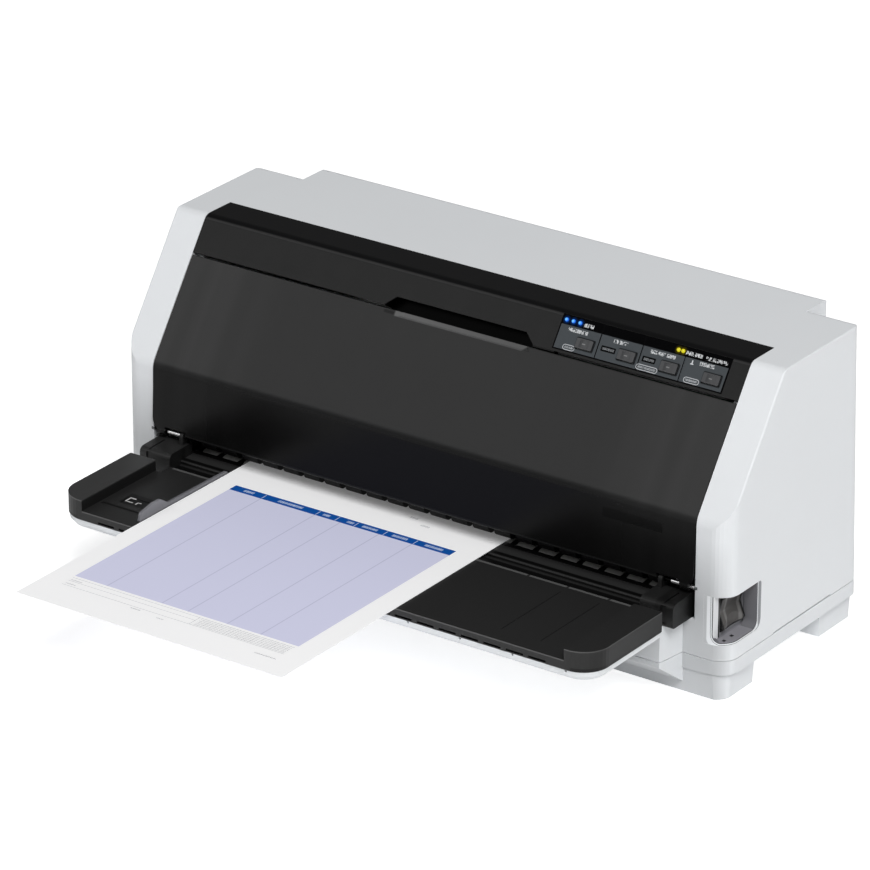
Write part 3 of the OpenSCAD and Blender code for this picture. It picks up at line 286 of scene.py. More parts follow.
    def pill(self, u, u0, u1, v, v0, v1, round_by):
        """Distance outside a round-cornered box, in mm; negative inside."""
        gaps = []
        for value, low, high in ((u, u0, u1), (v, v0, v1)):
            off = self.math("ABSOLUTE", self.math("SUBTRACT", value, (low + high) / 2))
            gaps.append(self.math("SUBTRACT", off, (high - low) / 2 - round_by))
        outer = [self.math("MAXIMUM", gap, 0.0) for gap in gaps]
        inner = self.math("MINIMUM", self.math("MAXIMUM", *gaps), 0.0)
        return self.math("SUBTRACT", self.math("ADD", self.reach(*outer), inner), round_by)

    def reach(self, across, along):
        """Length of the step (across, along)."""
        return self.math("SQRT", self.math("ADD", self.math("MULTIPLY", across, across),
                                           self.math("MULTIPLY", along, along)))

    def inside(self, distance, soft=0.15):
        """1 where the distance is negative."""
        return self.flip(self.over(distance, -soft / 2, soft / 2))

    # Places on the printer

    def up_slope(self):
        """Distance up the sloped front from its foot, in mm."""
        above = self.math("SUBTRACT", self.z, BREAK_Z)
        return self.math("ADD", self.math("MULTIPLY", self.y, math.cos(SLOPE)),
                         self.math("MULTIPLY", above, math.sin(SLOPE)))

    def off_slope(self):
        """Distance in front of the sloped front's plane, in mm."""
        above = self.math("SUBTRACT", self.z, BREAK_Z)
        return self.math("SUBTRACT", self.math("MULTIPLY", above, math.cos(SLOPE)),
                         self.math("MULTIPLY", self.y, math.sin(SLOPE)))

    def facing(self, axis, kind="Normal"):
        """How much the surface faces along the axis 0, 1 or 2, from -1 to 1."""
        split = self.node("SeparateXYZ")
        self.plug(split.inputs[0], self.node("NewGeometry").outputs[kind])
        return split.outputs[axis]

    # Changes to the material

    def paint(self, part, colour, share=1.0):
        """Lays colour over what is there where part is 1, thinned to that share."""
        if share != 1.0:
            part = self.math("MULTIPLY", part, share)
        self.colour = self.mix(part, self.colour, colour)
        self.set(base_color=self.colour)

    def vary(self, part, low, high):
        """Multiplies the colour by low to high as part goes from 0 to 1."""
        made = self.node("VectorMath", operation="SCALE")
        self.plug(made.inputs[0], self.colour[:3] if isinstance(self.colour, tuple) else self.colour)
        self.plug(made.inputs["Scale"], self.blend(part, low, high))
        self.colour = made.outputs[0]
        self.set(base_color=self.colour)

    def raise_by(self, part, amount):
        """Adds relief of that many mm where part is 1."""
        lift = self.math("MULTIPLY", part, amount)
        self.height = lift if self.height is None else self.math("ADD", self.height, lift)

    def finished(self):
        """The material, with its relief joined to the shader."""
        if self.height is not None:
            made = self.node("Bump")
            made.inputs["Distance"].default_value = MM
            made.inputs["Strength"].default_value = 1.0
            self.plug(made.inputs["Height"], self.height)
            self.set(normal=made.outputs[0])
        return self.material


def srgb(red, green, blue):
    """Linear colour of a colour given as 0 to 255."""
    return tuple(c / 255 / 12.92 if c < 10.3 else ((c / 255 + 0.055) / 1.055) ** 2.4
                 for c in (red, green, blue))


def grey(level):
    return srgb(level, level, level)


def moulded(name, colour, rough=0.5, grain=0.35, depth=0.012, tint=0.03, metal=0.0, spec=0.5):
    """Fine spark-textured moulding with a slow drift of tone and slight polish marks."""
    s = Surface(name, colour, rough, metal)
    fine = s.noise(grain, 3, 0.6)
    drift = s.noise(60, 2, 0.5)
    s.vary(drift, 1 - tint, 1 + tint)
    s.vary(fine, 1 - tint * 0.7, 1 + tint * 0.7)
    s.raise_by(fine, depth)
    polish = s.noise(14, 5, 0.65, (1, 0.35, 1))
    s.set(roughness=s.math("ADD", s.blend(polish, rough - 0.05, rough + 0.05),
                           s.math("MULTIPLY", fine, 0.04)), specular_ior_level=spec)
    return s


def metal(name, colour, rough, brushed=(1, 1, 1), size=0.25):
    """Metal with fine grinding lines along the stretched axis."""
    s = Surface(name, colour, rough, 1.0)
    lines = s.noise(size, 4, 0.6, brushed)
    cloud = s.noise(9, 3, 0.5)
    s.vary(lines, 0.9, 1.06)
    s.vary(cloud, 0.95, 1.04)
    s.raise_by(lines, 0.004)
    s.set(roughness=s.math("ADD", s.blend(lines, rough - 0.05, rough + 0.08),
                           s.math("MULTIPLY", cloud, 0.05)))
    return s


def wear(names, surface):
    """Gives the surface to each node named, in place of what it has."""
    material = surface.finished()
    for name in names.split():
        NODES[name].data.materials.clear()
        NODES[name].data.materials.append(material)


# ---------- case, cover and top bar ----------

# White plastics: colour, then roughness, grain, depth of grain and drift of tone
CASE_WHITE = (0.79, 0.81, 0.83), 0.46, 0.4, 0.010, 0.012
TRAY_WHITE = (0.77, 0.79, 0.81), 0.46, 0.4, 0.010, 0.012
FEET_WHITE = (0.76, 0.78, 0.80), 0.5, 0.4, 0.012, 0.014
# Top of the white tray's rim that shows inside the table's slots, painted dark as their shade
TRAY_RIM_Z = 55.8
# Opening of the cover: half its width, its ends in z, and how far back its walls lie in shadow
OPENING_HALF, OPENING_ZS, OPENING_REAR = 203, (78, 212), 84
# Faces that look forward get painted shade between these heights, down to that share of their colour
FADE_ZS, FADE_SHARE = (112, 66), 0.62
# Dark part of the mechanism that shows through the cover's lower panel
DARK_XS, DARK_ZS = (145, 190.5), (108, 114.5)
# Painted highlight on the cover's lip under the finger notch: its left end, its sides up the slope, its
# slanted right end
LIP_LEFT, LIP_UPS, LIP_LEAN, LIP_RIGHT = -48.3, (73.9, 77.6), 1.1, (-27.6, -29.2)
# Painted shadow left of the lip
LIP_SHADOW_XS, LIP_SHADOW_UPS = (-56.5, -48.6), (74.6, 76.6)
# Finger notch in the top bar, and the joint between bar and cover up the slope
SCOOP_XS, SCOOP_UPS, JOINT_UP = (-61, 79), (70, 89), 79.3


def paint_shade_down(s, share=1.0):
    """Painted shade: faces that look forward get darker towards the floor; share limits it to a part of the
    piece.
    """
    ahead = s.all(s.over(s.facing(1), -0.1, -0.35), s.over(s.y, 0.6 * CORNER_R, 0.2))
    s.vary(s.all(ahead, s.over(s.z, *FADE_ZS), share), 1.0, FADE_SHARE)


def shade_side(s, share):
    """Painted shade: faces that look to the right get darker, to that share of their colour."""
    s.vary(s.over(s.facing(0), 0.6, 0.95), 1.0, share)


def dress_case():
    white = moulded("case_white_plastic", *CASE_WHITE)
    # The walls of the cover's opening lie in shadow
    opening = white.patch(white.x, -OPENING_HALF, OPENING_HALF, white.z, *OPENING_ZS, 1)
    behind = white.over(white.off_slope(), -1.5, -2.5)
    well = white.all(opening, behind, white.over(white.y, OPENING_REAR, OPENING_REAR - 4))
    white.paint(well, grey(10))
    # Painted shade on the forward faces towards the floor
    paint_shade_down(white)
    wear("upper_case", white)
    tray = moulded("tray_white_plastic", *TRAY_WHITE)
    # Painted shade: the rim's top goes black where it shows inside the slots
    tray.paint(tray.over(tray.z, TRAY_RIM_Z - 0.1, TRAY_RIM_Z + 0.1), grey(5))
    wear("table_base", tray)
    feet = moulded("foot_white_plastic", *FEET_WHITE)
    # Painted shade on the forward faces towards the floor
    paint_shade_down(feet)
    wear("lower_case", feet)


def dress_cover():
    """Smoked cover: slope painted lighter than the nearly black lower panel as a painted reflection, with
    pale streaks near both ends.
    """
    s = moulded("smoked_plastic", grey(42), 0.22, 0.9, 0.0005, 0.03, spec=0.13)
    # Painted reflection: the slope keeps a lighter grey than the nearly black lower panel
    low = s.flip(s.over(s.z, BREAK_Z - 3, BREAK_Z + 1.5))
    s.paint(low, grey(9))
    streaks = s.over(s.noise(13, 1, 0.4, (1, 0.02, 0.02)), 0.35, 0.65)
    near_ends = s.over(s.math("ABSOLUTE", s.x), 130, 200)
    pale = s.all(near_ends, s.blend(streaks, 0.45, 1.0), s.blend(low, 0.26, 0.07))
    s.paint(pale, grey(78))
    behind = s.patch(s.x, *DARK_XS, s.z, *DARK_ZS, 1.2)
    s.paint(s.all(behind, low), (0.0004, 0.0004, 0.0004))
    # Painted highlight along the lower edge
    s.paint(s.within(s.z, 77.0, 78.4, 0.6), grey(32), 0.8)
    paint_lip_highlight(s)
    wear("front_cover", s)


def paint_lip_highlight(s):
    """Painted highlight on the lip under the finger notch: brightest at its square left end, with a slanted
    right end.
    """
    up = s.up_slope()
    slant = s.math("SUBTRACT", s.x, s.math("MULTIPLY", up, LIP_LEAN))
    lip = s.all(s.within(up, *LIP_UPS, 0.7), s.over(s.x, LIP_LEFT, LIP_LEFT + 1),
                s.over(slant, *LIP_RIGHT))
    s.paint(s.all(lip, s.blend(s.over(s.x, -48, 45), 0.62, 0.46)), grey(112))
    # Short shadow left of the lip
    s.paint(s.patch(s.x, *LIP_SHADOW_XS, up, *LIP_SHADOW_UPS, 0.8), grey(10), 0.8)


def dress_bar():
    s = moulded("bar_black_plastic", grey(26), 0.34, 0.4, 0.003, 0.03, spec=0.19)
    # Blacker flat top, with a thin painted highlight along the crease
    s.paint(s.over(s.z, BODY_H - 3.4, BODY_H - 0.9), srgb(10, 10, 11))
    s.paint(s.within(s.z, BODY_H - 2.6, BODY_H - 1.5, 0.5), grey(58), 0.6)
    # Inside of the finger notch painted dark as its shade; as a dark metal it gives back no gloss
    up = s.up_slope()
    scoop = s.all(s.patch(s.x, *SCOOP_XS, up, *SCOOP_UPS, 0.5), s.below(s.off_slope(), -1.3))
    s.paint(scoop, grey(9))
    s.set(metallic=scoop)
    # Shadow in the joint over the cover, right of the notch
    s.paint(s.all(s.over(up, JOINT_UP + 0.4, JOINT_UP), s.over(s.x, 59, 60)), grey(3))
    wear("front_bar", s)


# ---------- control panel ----------

# Grey field of the controls, and where the black strip over it begins up the slope
CONTROLS_XS, CONTROLS_UPS, BLACK_FROM = (74.6, 201.2), (81.9, 110), 97.9
# Ends along x and height up the slope (x0, x1, v) of the marks that stand for words
TITLES = ((80.8, 95.6, 95.6), (115.8, 126.2, 95.8), (143.4, 162.4, 95.6), (180.5, 191.5, 96.2),
          (90.8, 98.2, 100.7), (168.4, 180.6, 100.8), (183.5, 199.5, 100.6))
RINGED = ((80.7, 90.0, 83.9), (136.6, 153.0, 84.1), (172.6, 184.4, 84.0))
DARK_TAGS = ((108.2, 119.2, 89.3), (139.4, 149.4, 89.8))
ZONE_LINES = (107.4, 139.1, 170.9)
# Small upright sign on its foot, as boxes (x0, x1, up0, up1)
UPRIGHT_SIGN = ((174.6, 175.4, 94.6, 97.0), (173.8, 176.2, 94.2, 94.8))
# Between the blue lights and the amber ones
AMBER_X = 120


def light_distance(s):
    """Distance to the nearest status light's centre on the slope, in mm."""
    along = s.math("SUBTRACT", s.up_slope(), LIGHT_UP)
    return s.least(*(s.reach(s.math("SUBTRACT", s.x, x), along) for x in LIGHT_XS))


def dress_overlay():
    """Overlay of the controls: four grey zones, a black strip and generic marks in place of words."""
    s = moulded("panel_overlay", srgb(72, 76, 79), 0.5, 0.25, 0.002, 0.02, spec=0.03)
    up = s.up_slope()
    black, pale = srgb(3, 3, 4), srgb(214, 217, 220)
    s.paint(s.over(up, BLACK_FROM, BLACK_FROM + 0.3), black)
    s.paint(s.flip(s.patch(s.x, *CONTROLS_XS, up, *CONTROLS_UPS, 0.2)), black)
    leaning = s.math("ADD", s.x, s.math("MULTIPLY", up, 0.02))
    for x in ZONE_LINES:
        s.paint(s.within(leaning, x - 0.3, x + 0.3, 0.1), srgb(8, 8, 9))
    titles = s.patches(s.x, up, [(x0, x1, v - 1.2, v + 1.2) for x0, x1, v in TITLES], 0.3)
    broken = s.over(s.noise(1.5, 1, 0.5), 0.42, 0.5)
    s.paint(s.all(titles, broken, s.strokes(s.x, 1.6, 0.62)), srgb(226, 228, 230))
    rings = s.least(*(s.pill(s.x, x0, x1, up, v - 2.0, v + 2.0, 1.9) for x0, x1, v in RINGED))
    s.paint(s.within(rings, -0.55, -0.15, 0.2), pale, 0.8)
    s.paint(s.all(s.inside(s.math("ADD", rings, 1.3)), s.strokes(s.x, 1.0)), pale, 0.75)
    tags = s.least(*(s.pill(s.x, x0, x1, up, v - 1.9, v + 1.9, 0.6) for x0, x1, v in DARK_TAGS))
    s.paint(s.inside(tags), srgb(10, 10, 11))
    s.paint(s.all(s.inside(s.math("ADD", tags, 1.1)), s.strokes(s.x, 1.2)), srgb(150, 153, 156))
    s.paint(s.patches(s.x, up, UPRIGHT_SIGN, 0.2), pale)
    # Shadow lines round the keys
    for x in KEY_XS:
        s.paint(s.inside(s.pill(s.x, x - 7.0, x + 7.4, up, *KEY_UPS, 1.0), 0.5), srgb(12, 12, 13), 0.8)
    # Faint light that the lamps throw on the overlay round them
    shine = s.mix(s.over(s.x, AMBER_X, AMBER_X + 1), srgb(6, 44, 96), srgb(74, 66, 6))
    s.paint(s.over(light_distance(s), 3.1, 1.3), shine, 0.9)
    wear("control_panel", s)


def dress_keys():
    s = moulded("key_grey_plastic", srgb(52, 53, 55), 0.3, 0.3, 0.004, 0.04, spec=0.5)
    dashes = s.patches(s.x, s.up_slope(), [(x - 1.4, x + 1.0, *DASH_UPS) for x in DASH_XS], 0.2)
    s.paint(dashes, grey(150), 0.5)
    wear("panel_button_1 panel_button_2 panel_button_3 panel_button_4", s)


def dress_lights():
    """Lit lenses, three blue with a pale core and two amber."""
    s = Surface("status_lens", (0.01, 0.05, 0.3), 0.2)
    amber = s.over(s.x, AMBER_X, AMBER_X + 1)
    core = s.over(light_distance(s), 1.25, 0.35)
    blue = s.mix(core, (0.01, 0.12, 0.62), (0.16, 0.62, 1.0))
    s.paint(amber, (0.30, 0.26, 0.01))
    s.vary(s.blend(s.noise(0.8, 2, 0.5), 0.85, 1.1), 0.9, 1.1)
    s.set(emission_color=s.mix(amber, blue, (0.62, 0.56, 0.01)),
          emission_strength=s.blend(amber, 0.95, 0.7))
    wear("status_lights", s)


# ---------- printed sheet ----------

# Form on the sheet: its sides along x, the field's ends and the heading's ends along y
FORM_X, FIELD_Y, HEAD_Y = (-131.5, 45.8), (-190.5, -20.3), (-27.6, -20.0)
FIELD_RULES = (-105.5, -61.6, -41.0, -10.0, 16.2)
HEAD_RULES = (-105.5, -61.6, -46, -30.7, -7.5, 16.5)
HEAD_WORDS = ((-122, -114), (-94, -74), (-57.5, -52), (-38, -33), (-26, -14), (-2, 10), (24, 38))
HEAD_WORDS_Y, HEAD_RULES_Y = (-25.2, -22.4), (-27.0, -21.0)
# Thin lines of the table under the field, as boxes (x0, x1, y0, y1)
FOOT_LINES = ((-131, 45, -193.4, -193.0), (-131, -29, -198.2, -197.8),
              (-131, 45, -204.6, -204.2), (-29.5, -29.1, -204.6, -193.0))
SMALL_WORDS = ((-130, -121, -196.8, -195.6), (-130, -122, -202.4, -201.2), (-74, -66, -207.6, -206.2),
               (-52, -46, -209.6, -208.4), (28, 45, -213.6, -212.2), (-9, -2, 4.6, 7.2), (4, 11, -1.8, 0.6))
SMALL_BLOCK = (-27, 44, -203.4, -193.6)
# Share of its own colour that the paper gives off as a painted glow, to brighten it
PAPER_GLOW = 0.13


def dress_print():
    """Plain sheet with a generic ruled form: a blue heading bar, a lavender field and unreadable lines."""
    s = moulded("paper_plain", (0.93, 0.93, 0.935), 0.85, 0.15, 0.006, 0.008, spec=0.2)
    x, y = s.x, s.y
    field = s.patch(x, *FORM_X, y, *FIELD_Y)
    s.paint(field, srgb(206, 207, 230))
    s.paint(s.all(field, s.bands(x, FIELD_RULES, 0.35, 0.3)), srgb(160, 162, 190), 0.55)
    s.paint(s.patch(x, *FORM_X, y, *HEAD_Y), srgb(0, 75, 155))
    words = s.any(*(s.within(x, x0, x1, 0.3) for x0, x1 in HEAD_WORDS))
    words = s.all(words, s.within(y, *HEAD_WORDS_Y), s.strokes(x, 1.6, 0.6))
    rules = s.all(s.bands(x, HEAD_RULES, 0.25, 0.2), s.within(y, *HEAD_RULES_Y))
    s.paint(s.any(words, rules), srgb(214, 224, 240), 0.8)
    s.paint(s.patches(x, y, FOOT_LINES, 0.2), srgb(120, 124, 130), 0.6)
    block = s.all(s.patches(x, y, [SMALL_BLOCK], 0.2), s.stripes(y, 1.9))
    small = s.any(s.patches(x, y, SMALL_WORDS), block)
    s.paint(s.all(small, s.strokes(x, 1.4, 0.55)), srgb(105, 108, 116), 0.65)
    # Painted light: the sheet glows a little in its own colours
    s.set(emission_color=s.colour, emission_strength=PAPER_GLOW)
    wear("paper_sheet", s)


# ---------- power switch ----------

# Floor of the recess, and the two small pits in it as boxes (x0, x1, y0, y1)
RECESS_Z, PITS = 43, ((232.8, 235, 13.6, 16.4), (232.8, 235, 4.8, 7.2))
# Along y: rear of the pale cheek in front of the rocker, and where the painted shade of the gap behind it
# begins
CHEEK_REAR, GAP_FROM = 7.2, 5.4
# Along y: painted highlights across the rocker, and where its ends, painted dark as the shade of the gaps
# round it, begin
RIB_HIGHLIGHTS, FRONT_END, REAR_END = ((12.4, 14.6), (27.6, 30.6)), 9.0, 31.4


def dress_bezel():
    s = moulded("bezel_grey_plastic", srgb(122, 122, 126), 0.4, 0.35, 0.006, 0.02)
    s.paint(s.over(s.z, RECESS_Z + 0.6, RECESS_Z), srgb(142, 141, 147))
    cheek = s.all(s.over(s.y, CHEEK_REAR + 0.4, CHEEK_REAR), s.over(s.z, RECESS_Z - 0.4, RECESS_Z + 0.2))
    s.paint(cheek, (0.74, 0.75, 0.77))
    # Painted shade of the gap between the cheek and the rocker
    s.paint(s.all(cheek, s.over(s.y, GAP_FROM, GAP_FROM + 0.3)), grey(10))
    s.paint(s.all(s.patches(s.x, s.y, PITS), s.below(s.z, RECESS_Z + 0.4)), srgb(24, 24, 26))
    wear("switch_bezel", s)


def dress_rocker():
    s = moulded("rocker_plastic", srgb(74, 72, 70), 0.32, 0.3, 0.004, 0.04)
    # Darker top
    s.paint(s.over(s.z, 58, 61), srgb(52, 50, 48), 0.6)
    # Painted highlights across the rocker
    rib_highlights = s.any(*(s.within(s.y, y0, y1, 0.6) for y0, y1 in RIB_HIGHLIGHTS))
    s.paint(rib_highlights, srgb(118, 117, 116), 0.75)
    # Ends painted dark as the shade of the gaps round the rocker
    s.paint(s.any(s.below(s.y, FRONT_END), s.over(s.y, REAR_END, REAR_END + 0.3)), grey(12))
    wear("power_rocker", s)


# ---------- paper table, guide bar and edge guide ----------

# Guide bar: half the width between its end blocks, and where the right one gets darker
BAR_HALF, END_FROM = 187, 197.5
# Strips of the guide bar, as boxes (y0, y1, z0, z1)
LIT_STRIP, WIDE_SHADE, FINE_SHADE = (-2.6, 7, 61, 70), (-6.7, -3.2, 61, 70), (-8.3, -7.7, 60.3, 61.8)
# Painted highlights along the rear edge of the deck, the tops of the side walls, and the front rim of the
# deck
EDGE_YS, EDGE_ZS, EDGE_HALF = (-22.8, -20.4), (62, 63), 183
WALL_TOP_ZS = (69.7, 70.6)
FRONT_RIM_ZS, FRONT_RIM_YS, FRONT_RIM_HALF = (61.9, 62.9), (-112, -109), 190
# Joints in the painted highlight along the deck's rear edge, and the black patch with its pale sign
DECK_JOINTS = (-133.6, -103.4, 103.4, 133.6, 165.1)
SIGN_PATCH = (-180, -160, -84, -69)
SIGN_LINES = ((-177.6, -176.6, -80.4, -74), (-177.6, -172.6, -75, -74), (-177.6, -171.2, -80.4, -79.4),
              (-168.8, -167.8, -81, -77.6), (-168.8, -165.4, -78.4, -77.6))


def dress_entrance():
    """Guide bar ahead of the rollers: lit strips and shaded ones, one behind the other."""
    s = moulded("entrance_black_plastic", grey(36), 0.44, 0.3, 0.010, 0.04, spec=0.35)
    between = s.within(s.x, -BAR_HALF, BAR_HALF, 0.2)
    lit = s.math("MULTIPLY", s.patches(s.y, s.z, [LIT_STRIP], 0.3), 0.8)
    low_front = s.all(s.below(s.z, 59.8), s.below(s.y, -9.7))
    shaded = s.any(s.patches(s.y, s.z, [WIDE_SHADE], 0.3), s.patches(s.y, s.z, [FINE_SHADE], 0.2), low_front)
    s.paint(s.all(lit, between), grey(47))
    s.paint(s.all(shaded, between), grey(4))
    # Right end block, darker towards its end
    s.paint(s.over(s.x, BAR_HALF, BAR_HALF + 1), grey(22), 0.6)
    s.paint(s.over(s.x, END_FROM, END_FROM + 1), grey(12), 0.75)
    shade_side(s, 0.4)
    wear("paper_entrance", s)


def dress_table():
    s = moulded("tray_black_plastic", grey(36), 0.44, 0.3, 0.010, 0.04, spec=0.35)
    deck = s.over(s.z, 60, 61)
    s.paint(s.all(s.patches(s.x, s.y, [SIGN_PATCH], 0.3), deck), grey(5))
    s.paint(s.all(s.patches(s.x, s.y, SIGN_LINES), deck), grey(205))
    # Painted highlight along the deck's rear edge, in lengths with small gaps
    edge = s.all(s.patch(s.y, *EDGE_YS, s.z, *EDGE_ZS, 0.2), s.within(s.x, -EDGE_HALF, EDGE_HALF, 0.5))
    gaps = [s.flip(s.within(s.x, x - 0.8, x + 0.8, 0.1)) for x in DECK_JOINTS]
    s.paint(s.all(edge, *gaps), grey(88))
    # Left wall's top a little lighter, and painted highlights along the edges
    s.paint(s.all(s.over(s.z, 70.2, 70.4), s.over(s.x, -189, -190)), grey(58), 0.8)
    front_rim = s.all(s.patch(s.z, *FRONT_RIM_ZS, s.y, *FRONT_RIM_YS, 0.2),
                      s.within(s.x, -FRONT_RIM_HALF, FRONT_RIM_HALF))
    rims = s.any(s.within(s.z, *WALL_TOP_ZS, 0.2), front_rim)
    upright = s.flip(s.over(s.facing(2, "True Normal"), 0.55, 0.75))
    s.paint(s.all(rims, upright), grey(88), 0.85)
    # The slots under the front edge lie in shadow
    s.paint(s.all(s.over(s.y, -109.9, -109.7), s.below(s.z, 58.6)), grey(3))
    shade_side(s, 0.5)
    wear("paper_table", s)


def dress_guide():
    """Tinted edge guide with a painted highlight towards its top and a dark foot."""
    foot_right, foot_top = -149.8, 62.9
    s = moulded("guide_tinted", srgb(112, 112, 117), 0.22, 0.6, 0.002, 0.04, spec=0.45)
    # Painted highlight: paler towards the top
    s.paint(s.over(s.z, 66, 70), srgb(140, 140, 145), 0.35)
    s.paint(s.any(s.below(s.x, foot_right), s.below(s.z, foot_top)), grey(22))
    wear("edge_guide", s)


# ---------- mechanism ----------

def dress_pins():
    """Steel cover pins; painted shade darkens the parts under the cover, and the ends are grey plastic caps.
    """
    shaded_xs, shaded_left, cap_from = (180, 197.5), -203.5, 214.6
    s = metal("pin_steel", (0.80, 0.80, 0.81), 0.22, (0.05, 1, 1), 0.15)
    # Painted shade on the parts under the cover
    s.paint(s.any(s.within(s.x, *shaded_xs), s.below(s.x, shaded_left)), grey(14))
    capped = s.over(s.math("ABSOLUTE", s.x), cap_from, cap_from + 0.3)
    s.paint(capped, srgb(84, 86, 88))
    s.set(metallic=s.flip(capped))
    wear("cover_pins", s)


def dress_board():
    """Green circuit board with diagonal tracks and solder dots."""
    s = moulded("board_green", (0.02, 0.10, 0.05), 0.35, 0.5, 0.004, 0.05)
    tracks = s.all(s.stripes(s.math("ADD", s.x, s.y), 2.4, 0.35), s.over(s.noise(16, 1), 0.5, 0.52))
    s.paint(tracks, (0.05, 0.20, 0.09), 0.5)
    s.paint(s.below(s.cells(5.5), 0.13), (0.55, 0.55, 0.50))
    wear("main_board", s)


def dress_metals():
    steel = metal("plated_steel", (0.60, 0.61, 0.62), 0.32, (1, 0.06, 1))
    steel.vary(steel.cells(7), 0.86, 1.06)
    wear("chassis_base left_frame right_frame rear_rail interface_ports power_supply", steel)
    wear("case_screws carriage_shaft tractor_drive_shaft tractor_guide_shaft",
         metal("ground_steel", (0.75, 0.76, 0.77), 0.16, (0.05, 1, 1), 0.15))
    wear("platen_bushes motor_pinion", metal("turned_brass", (0.74, 0.56, 0.26), 0.25, (3, 1, 1)))
    wear("print_head", metal("head_cast", (0.22, 0.23, 0.24), 0.4))


def dress_plastics():
    wear("tractor_frame left_tractor right_tractor carriage ribbon_cartridge power_inlet",
         moulded("table_black_plastic", grey(37), 0.44, 0.3, 0.010, 0.04, spec=0.35))
    wear("paper_bed", moulded("bed_black_plastic", srgb(24, 24, 25), 0.36, 0.3, 0.006, 0.05, spec=0.35))
    wear("left_tractor_lid right_tractor_lid ribbon_knob",
         moulded("lever_grey_plastic", srgb(66, 67, 70), 0.36, 0.35, 0.006, 0.05))
    wear("front_idler_gear rear_idler_gear transfer_gear tractor_gear motor_pulley idler_pulley "
         "left_pin_wheel right_pin_wheel",
         moulded("gear_ivory_plastic", (0.74, 0.70, 0.60), 0.4, 0.4, 0.006, 0.03))
    wear("feed_motor carriage_motor",
         moulded("motor_black_can", (0.03, 0.03, 0.033), 0.4, 0.3, 0.006, 0.05, metal=0.6))


def dress_rubbers():
    wear("rubber_feet platen_roller carriage_belt",
         moulded("rubber_black", (0.02, 0.02, 0.02), 0.75, 0.2, 0.02, 0.08, spec=0.3))
    wear("front_roller rear_roller",
         moulded("rubber_grey", srgb(170, 170, 168), 0.6, 0.2, 0.015, 0.06, spec=0.3))
    wear("front_pinch_rollers rear_pinch_rollers",
         moulded("rubber_dark", srgb(30, 30, 31), 0.6, 0.2, 0.015, 0.06, spec=0.3))
    wear("ribbon_strand",
         moulded("ribbon_inked", (0.01, 0.01, 0.012), 0.85, 0.2, 0.02, 0.1, spec=0.2))


# ---------- fine pieces ----------

def mesh_of(bm, name):
    """Mesh made from bm, which is freed."""
    bmesh.ops.recalc_face_normals(bm, faces=bm.faces[:])
    mesh = bpy.data.meshes.new(name)
    bm.to_mesh(mesh)
    bm.free()
    return mesh


def grow_up(bm, height):
    """Extrudes all flat faces of bm upwards by that many mm."""
    grown = bmesh.ops.extrude_face_region(bm, geom=bm.faces[:])
    tops = [v for v in grown["geom"] if isinstance(v, bmesh.types.BMVert)]
    bmesh.ops.translate(bm, verts=tops, vec=(0, 0, height * MM))


def roller_plate():
    """Dark plate between the guide bar and the bed; the front rollers' tops stand in its windows."""
    half, pitch, window_half, low, high = 189.5, 17, 6.4, 60.65, 62.2
    ys, window_row = [8.1, 12.2, 21.6, 26.4], 1
    xs = [-half]
    for k in range(-11, 11):
        centre = pitch * (k + 0.5)
        xs += [centre - window_half, centre + window_half]
    xs.append(half)
    bm = bmesh.new()
    at = [[bm.verts.new((x * MM, y * MM, low * MM)) for y in ys] for x in xs]
    for i in range(len(xs) - 1):
        for j in range(len(ys) - 1):
            if i % 2 == 0 or j != window_row:
                bm.faces.new((at[i][j], at[i + 1][j], at[i + 1][j + 1], at[i][j + 1]))
    grow_up(bm, high - low)
    piece = place_object("roller_plate", mesh_of(bm, "roller_plate"))
    dark = moulded("plate_dark_plastic", grey(16), 0.4, 0.3, 0.006, 0.05, spec=0.3)
    piece.data.materials.append(dark.finished())
    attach(piece, "root")


def closed_solid(name, rows, materials, slots):
    """Solid through rows of points in mm, closed round each row; slots gives each strip's material."""
    bm = bmesh.new()
    at = [[bm.verts.new(Vector(point) * MM) for point in row] for row in rows]
    count = len(rows[0])
    for one, two in zip(at, at[1:]):
        for j in range(count):
            k = (j + 1) % count
            bm.faces.new((one[j], one[k], two[k], two[j])).material_index = slots[j]
    for end in (at[0], at[-1]):
        bm.faces.new(end)
    piece = place_object(name, mesh_of(bm, name))
    for material in materials:
        piece.data.materials.append(material)
    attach(piece, "root")


def on_slope(x, up, out):
    """Point at that x, distance up the sloped front and distance out of it."""
    return (x, up * math.cos(SLOPE) - out * math.sin(SLOPE),
            BREAK_Z + up * math.sin(SLOPE) + out * math.cos(SLOPE))


def notch_end():
    """Brings the finger notch's right end in to where the photo shows it."""
    outline = [(63, 86.6), (76, 79.5), (76, 78.6), (59.7, 78.6), (59.4, 79.8), (51.8, 86.6)]
    depth = 3.0
    rows = [[on_slope(x, up, out) for x, up in outline] for out in (-depth, 0.0)]
    closed_solid("notch_end", rows, [NODES["front_bar"].data.materials[0]], [0] * len(outline))


def on_corner(along, z, out):
    """Point on the case's right front corner: along runs round it and equals y on the side."""
    turn = CORNER_R * math.pi / 2
    centre_x = CASE_HALF - CORNER_R
    if along >= CORNER_R:
        return (CASE_HALF + out, along, z)
    if along < CORNER_R - turn:
        return (centre_x - (CORNER_R - turn - along), -out, z)
    angle = (CORNER_R - along) / CORNER_R
    reach = CORNER_R + out
    return (centre_x + reach * math.cos(angle), CORNER_R - reach * math.sin(angle), z)


# Rim of the switch: the bead's line and the edge of the case's opening, along the corner and in z
BEAD_LEFT, BEAD_RIGHT, BEAD_LOW, RIM_TOP = -6.5, 35.6, 41.0, 73.4
EDGE_LEFT, EDGE_RIGHT, EDGE_LOW = -12.4, 39.5, 40.0
BEAD_BEND, BEND_STEPS, STRAIGHT_STEPS = 6.5, 12, 12
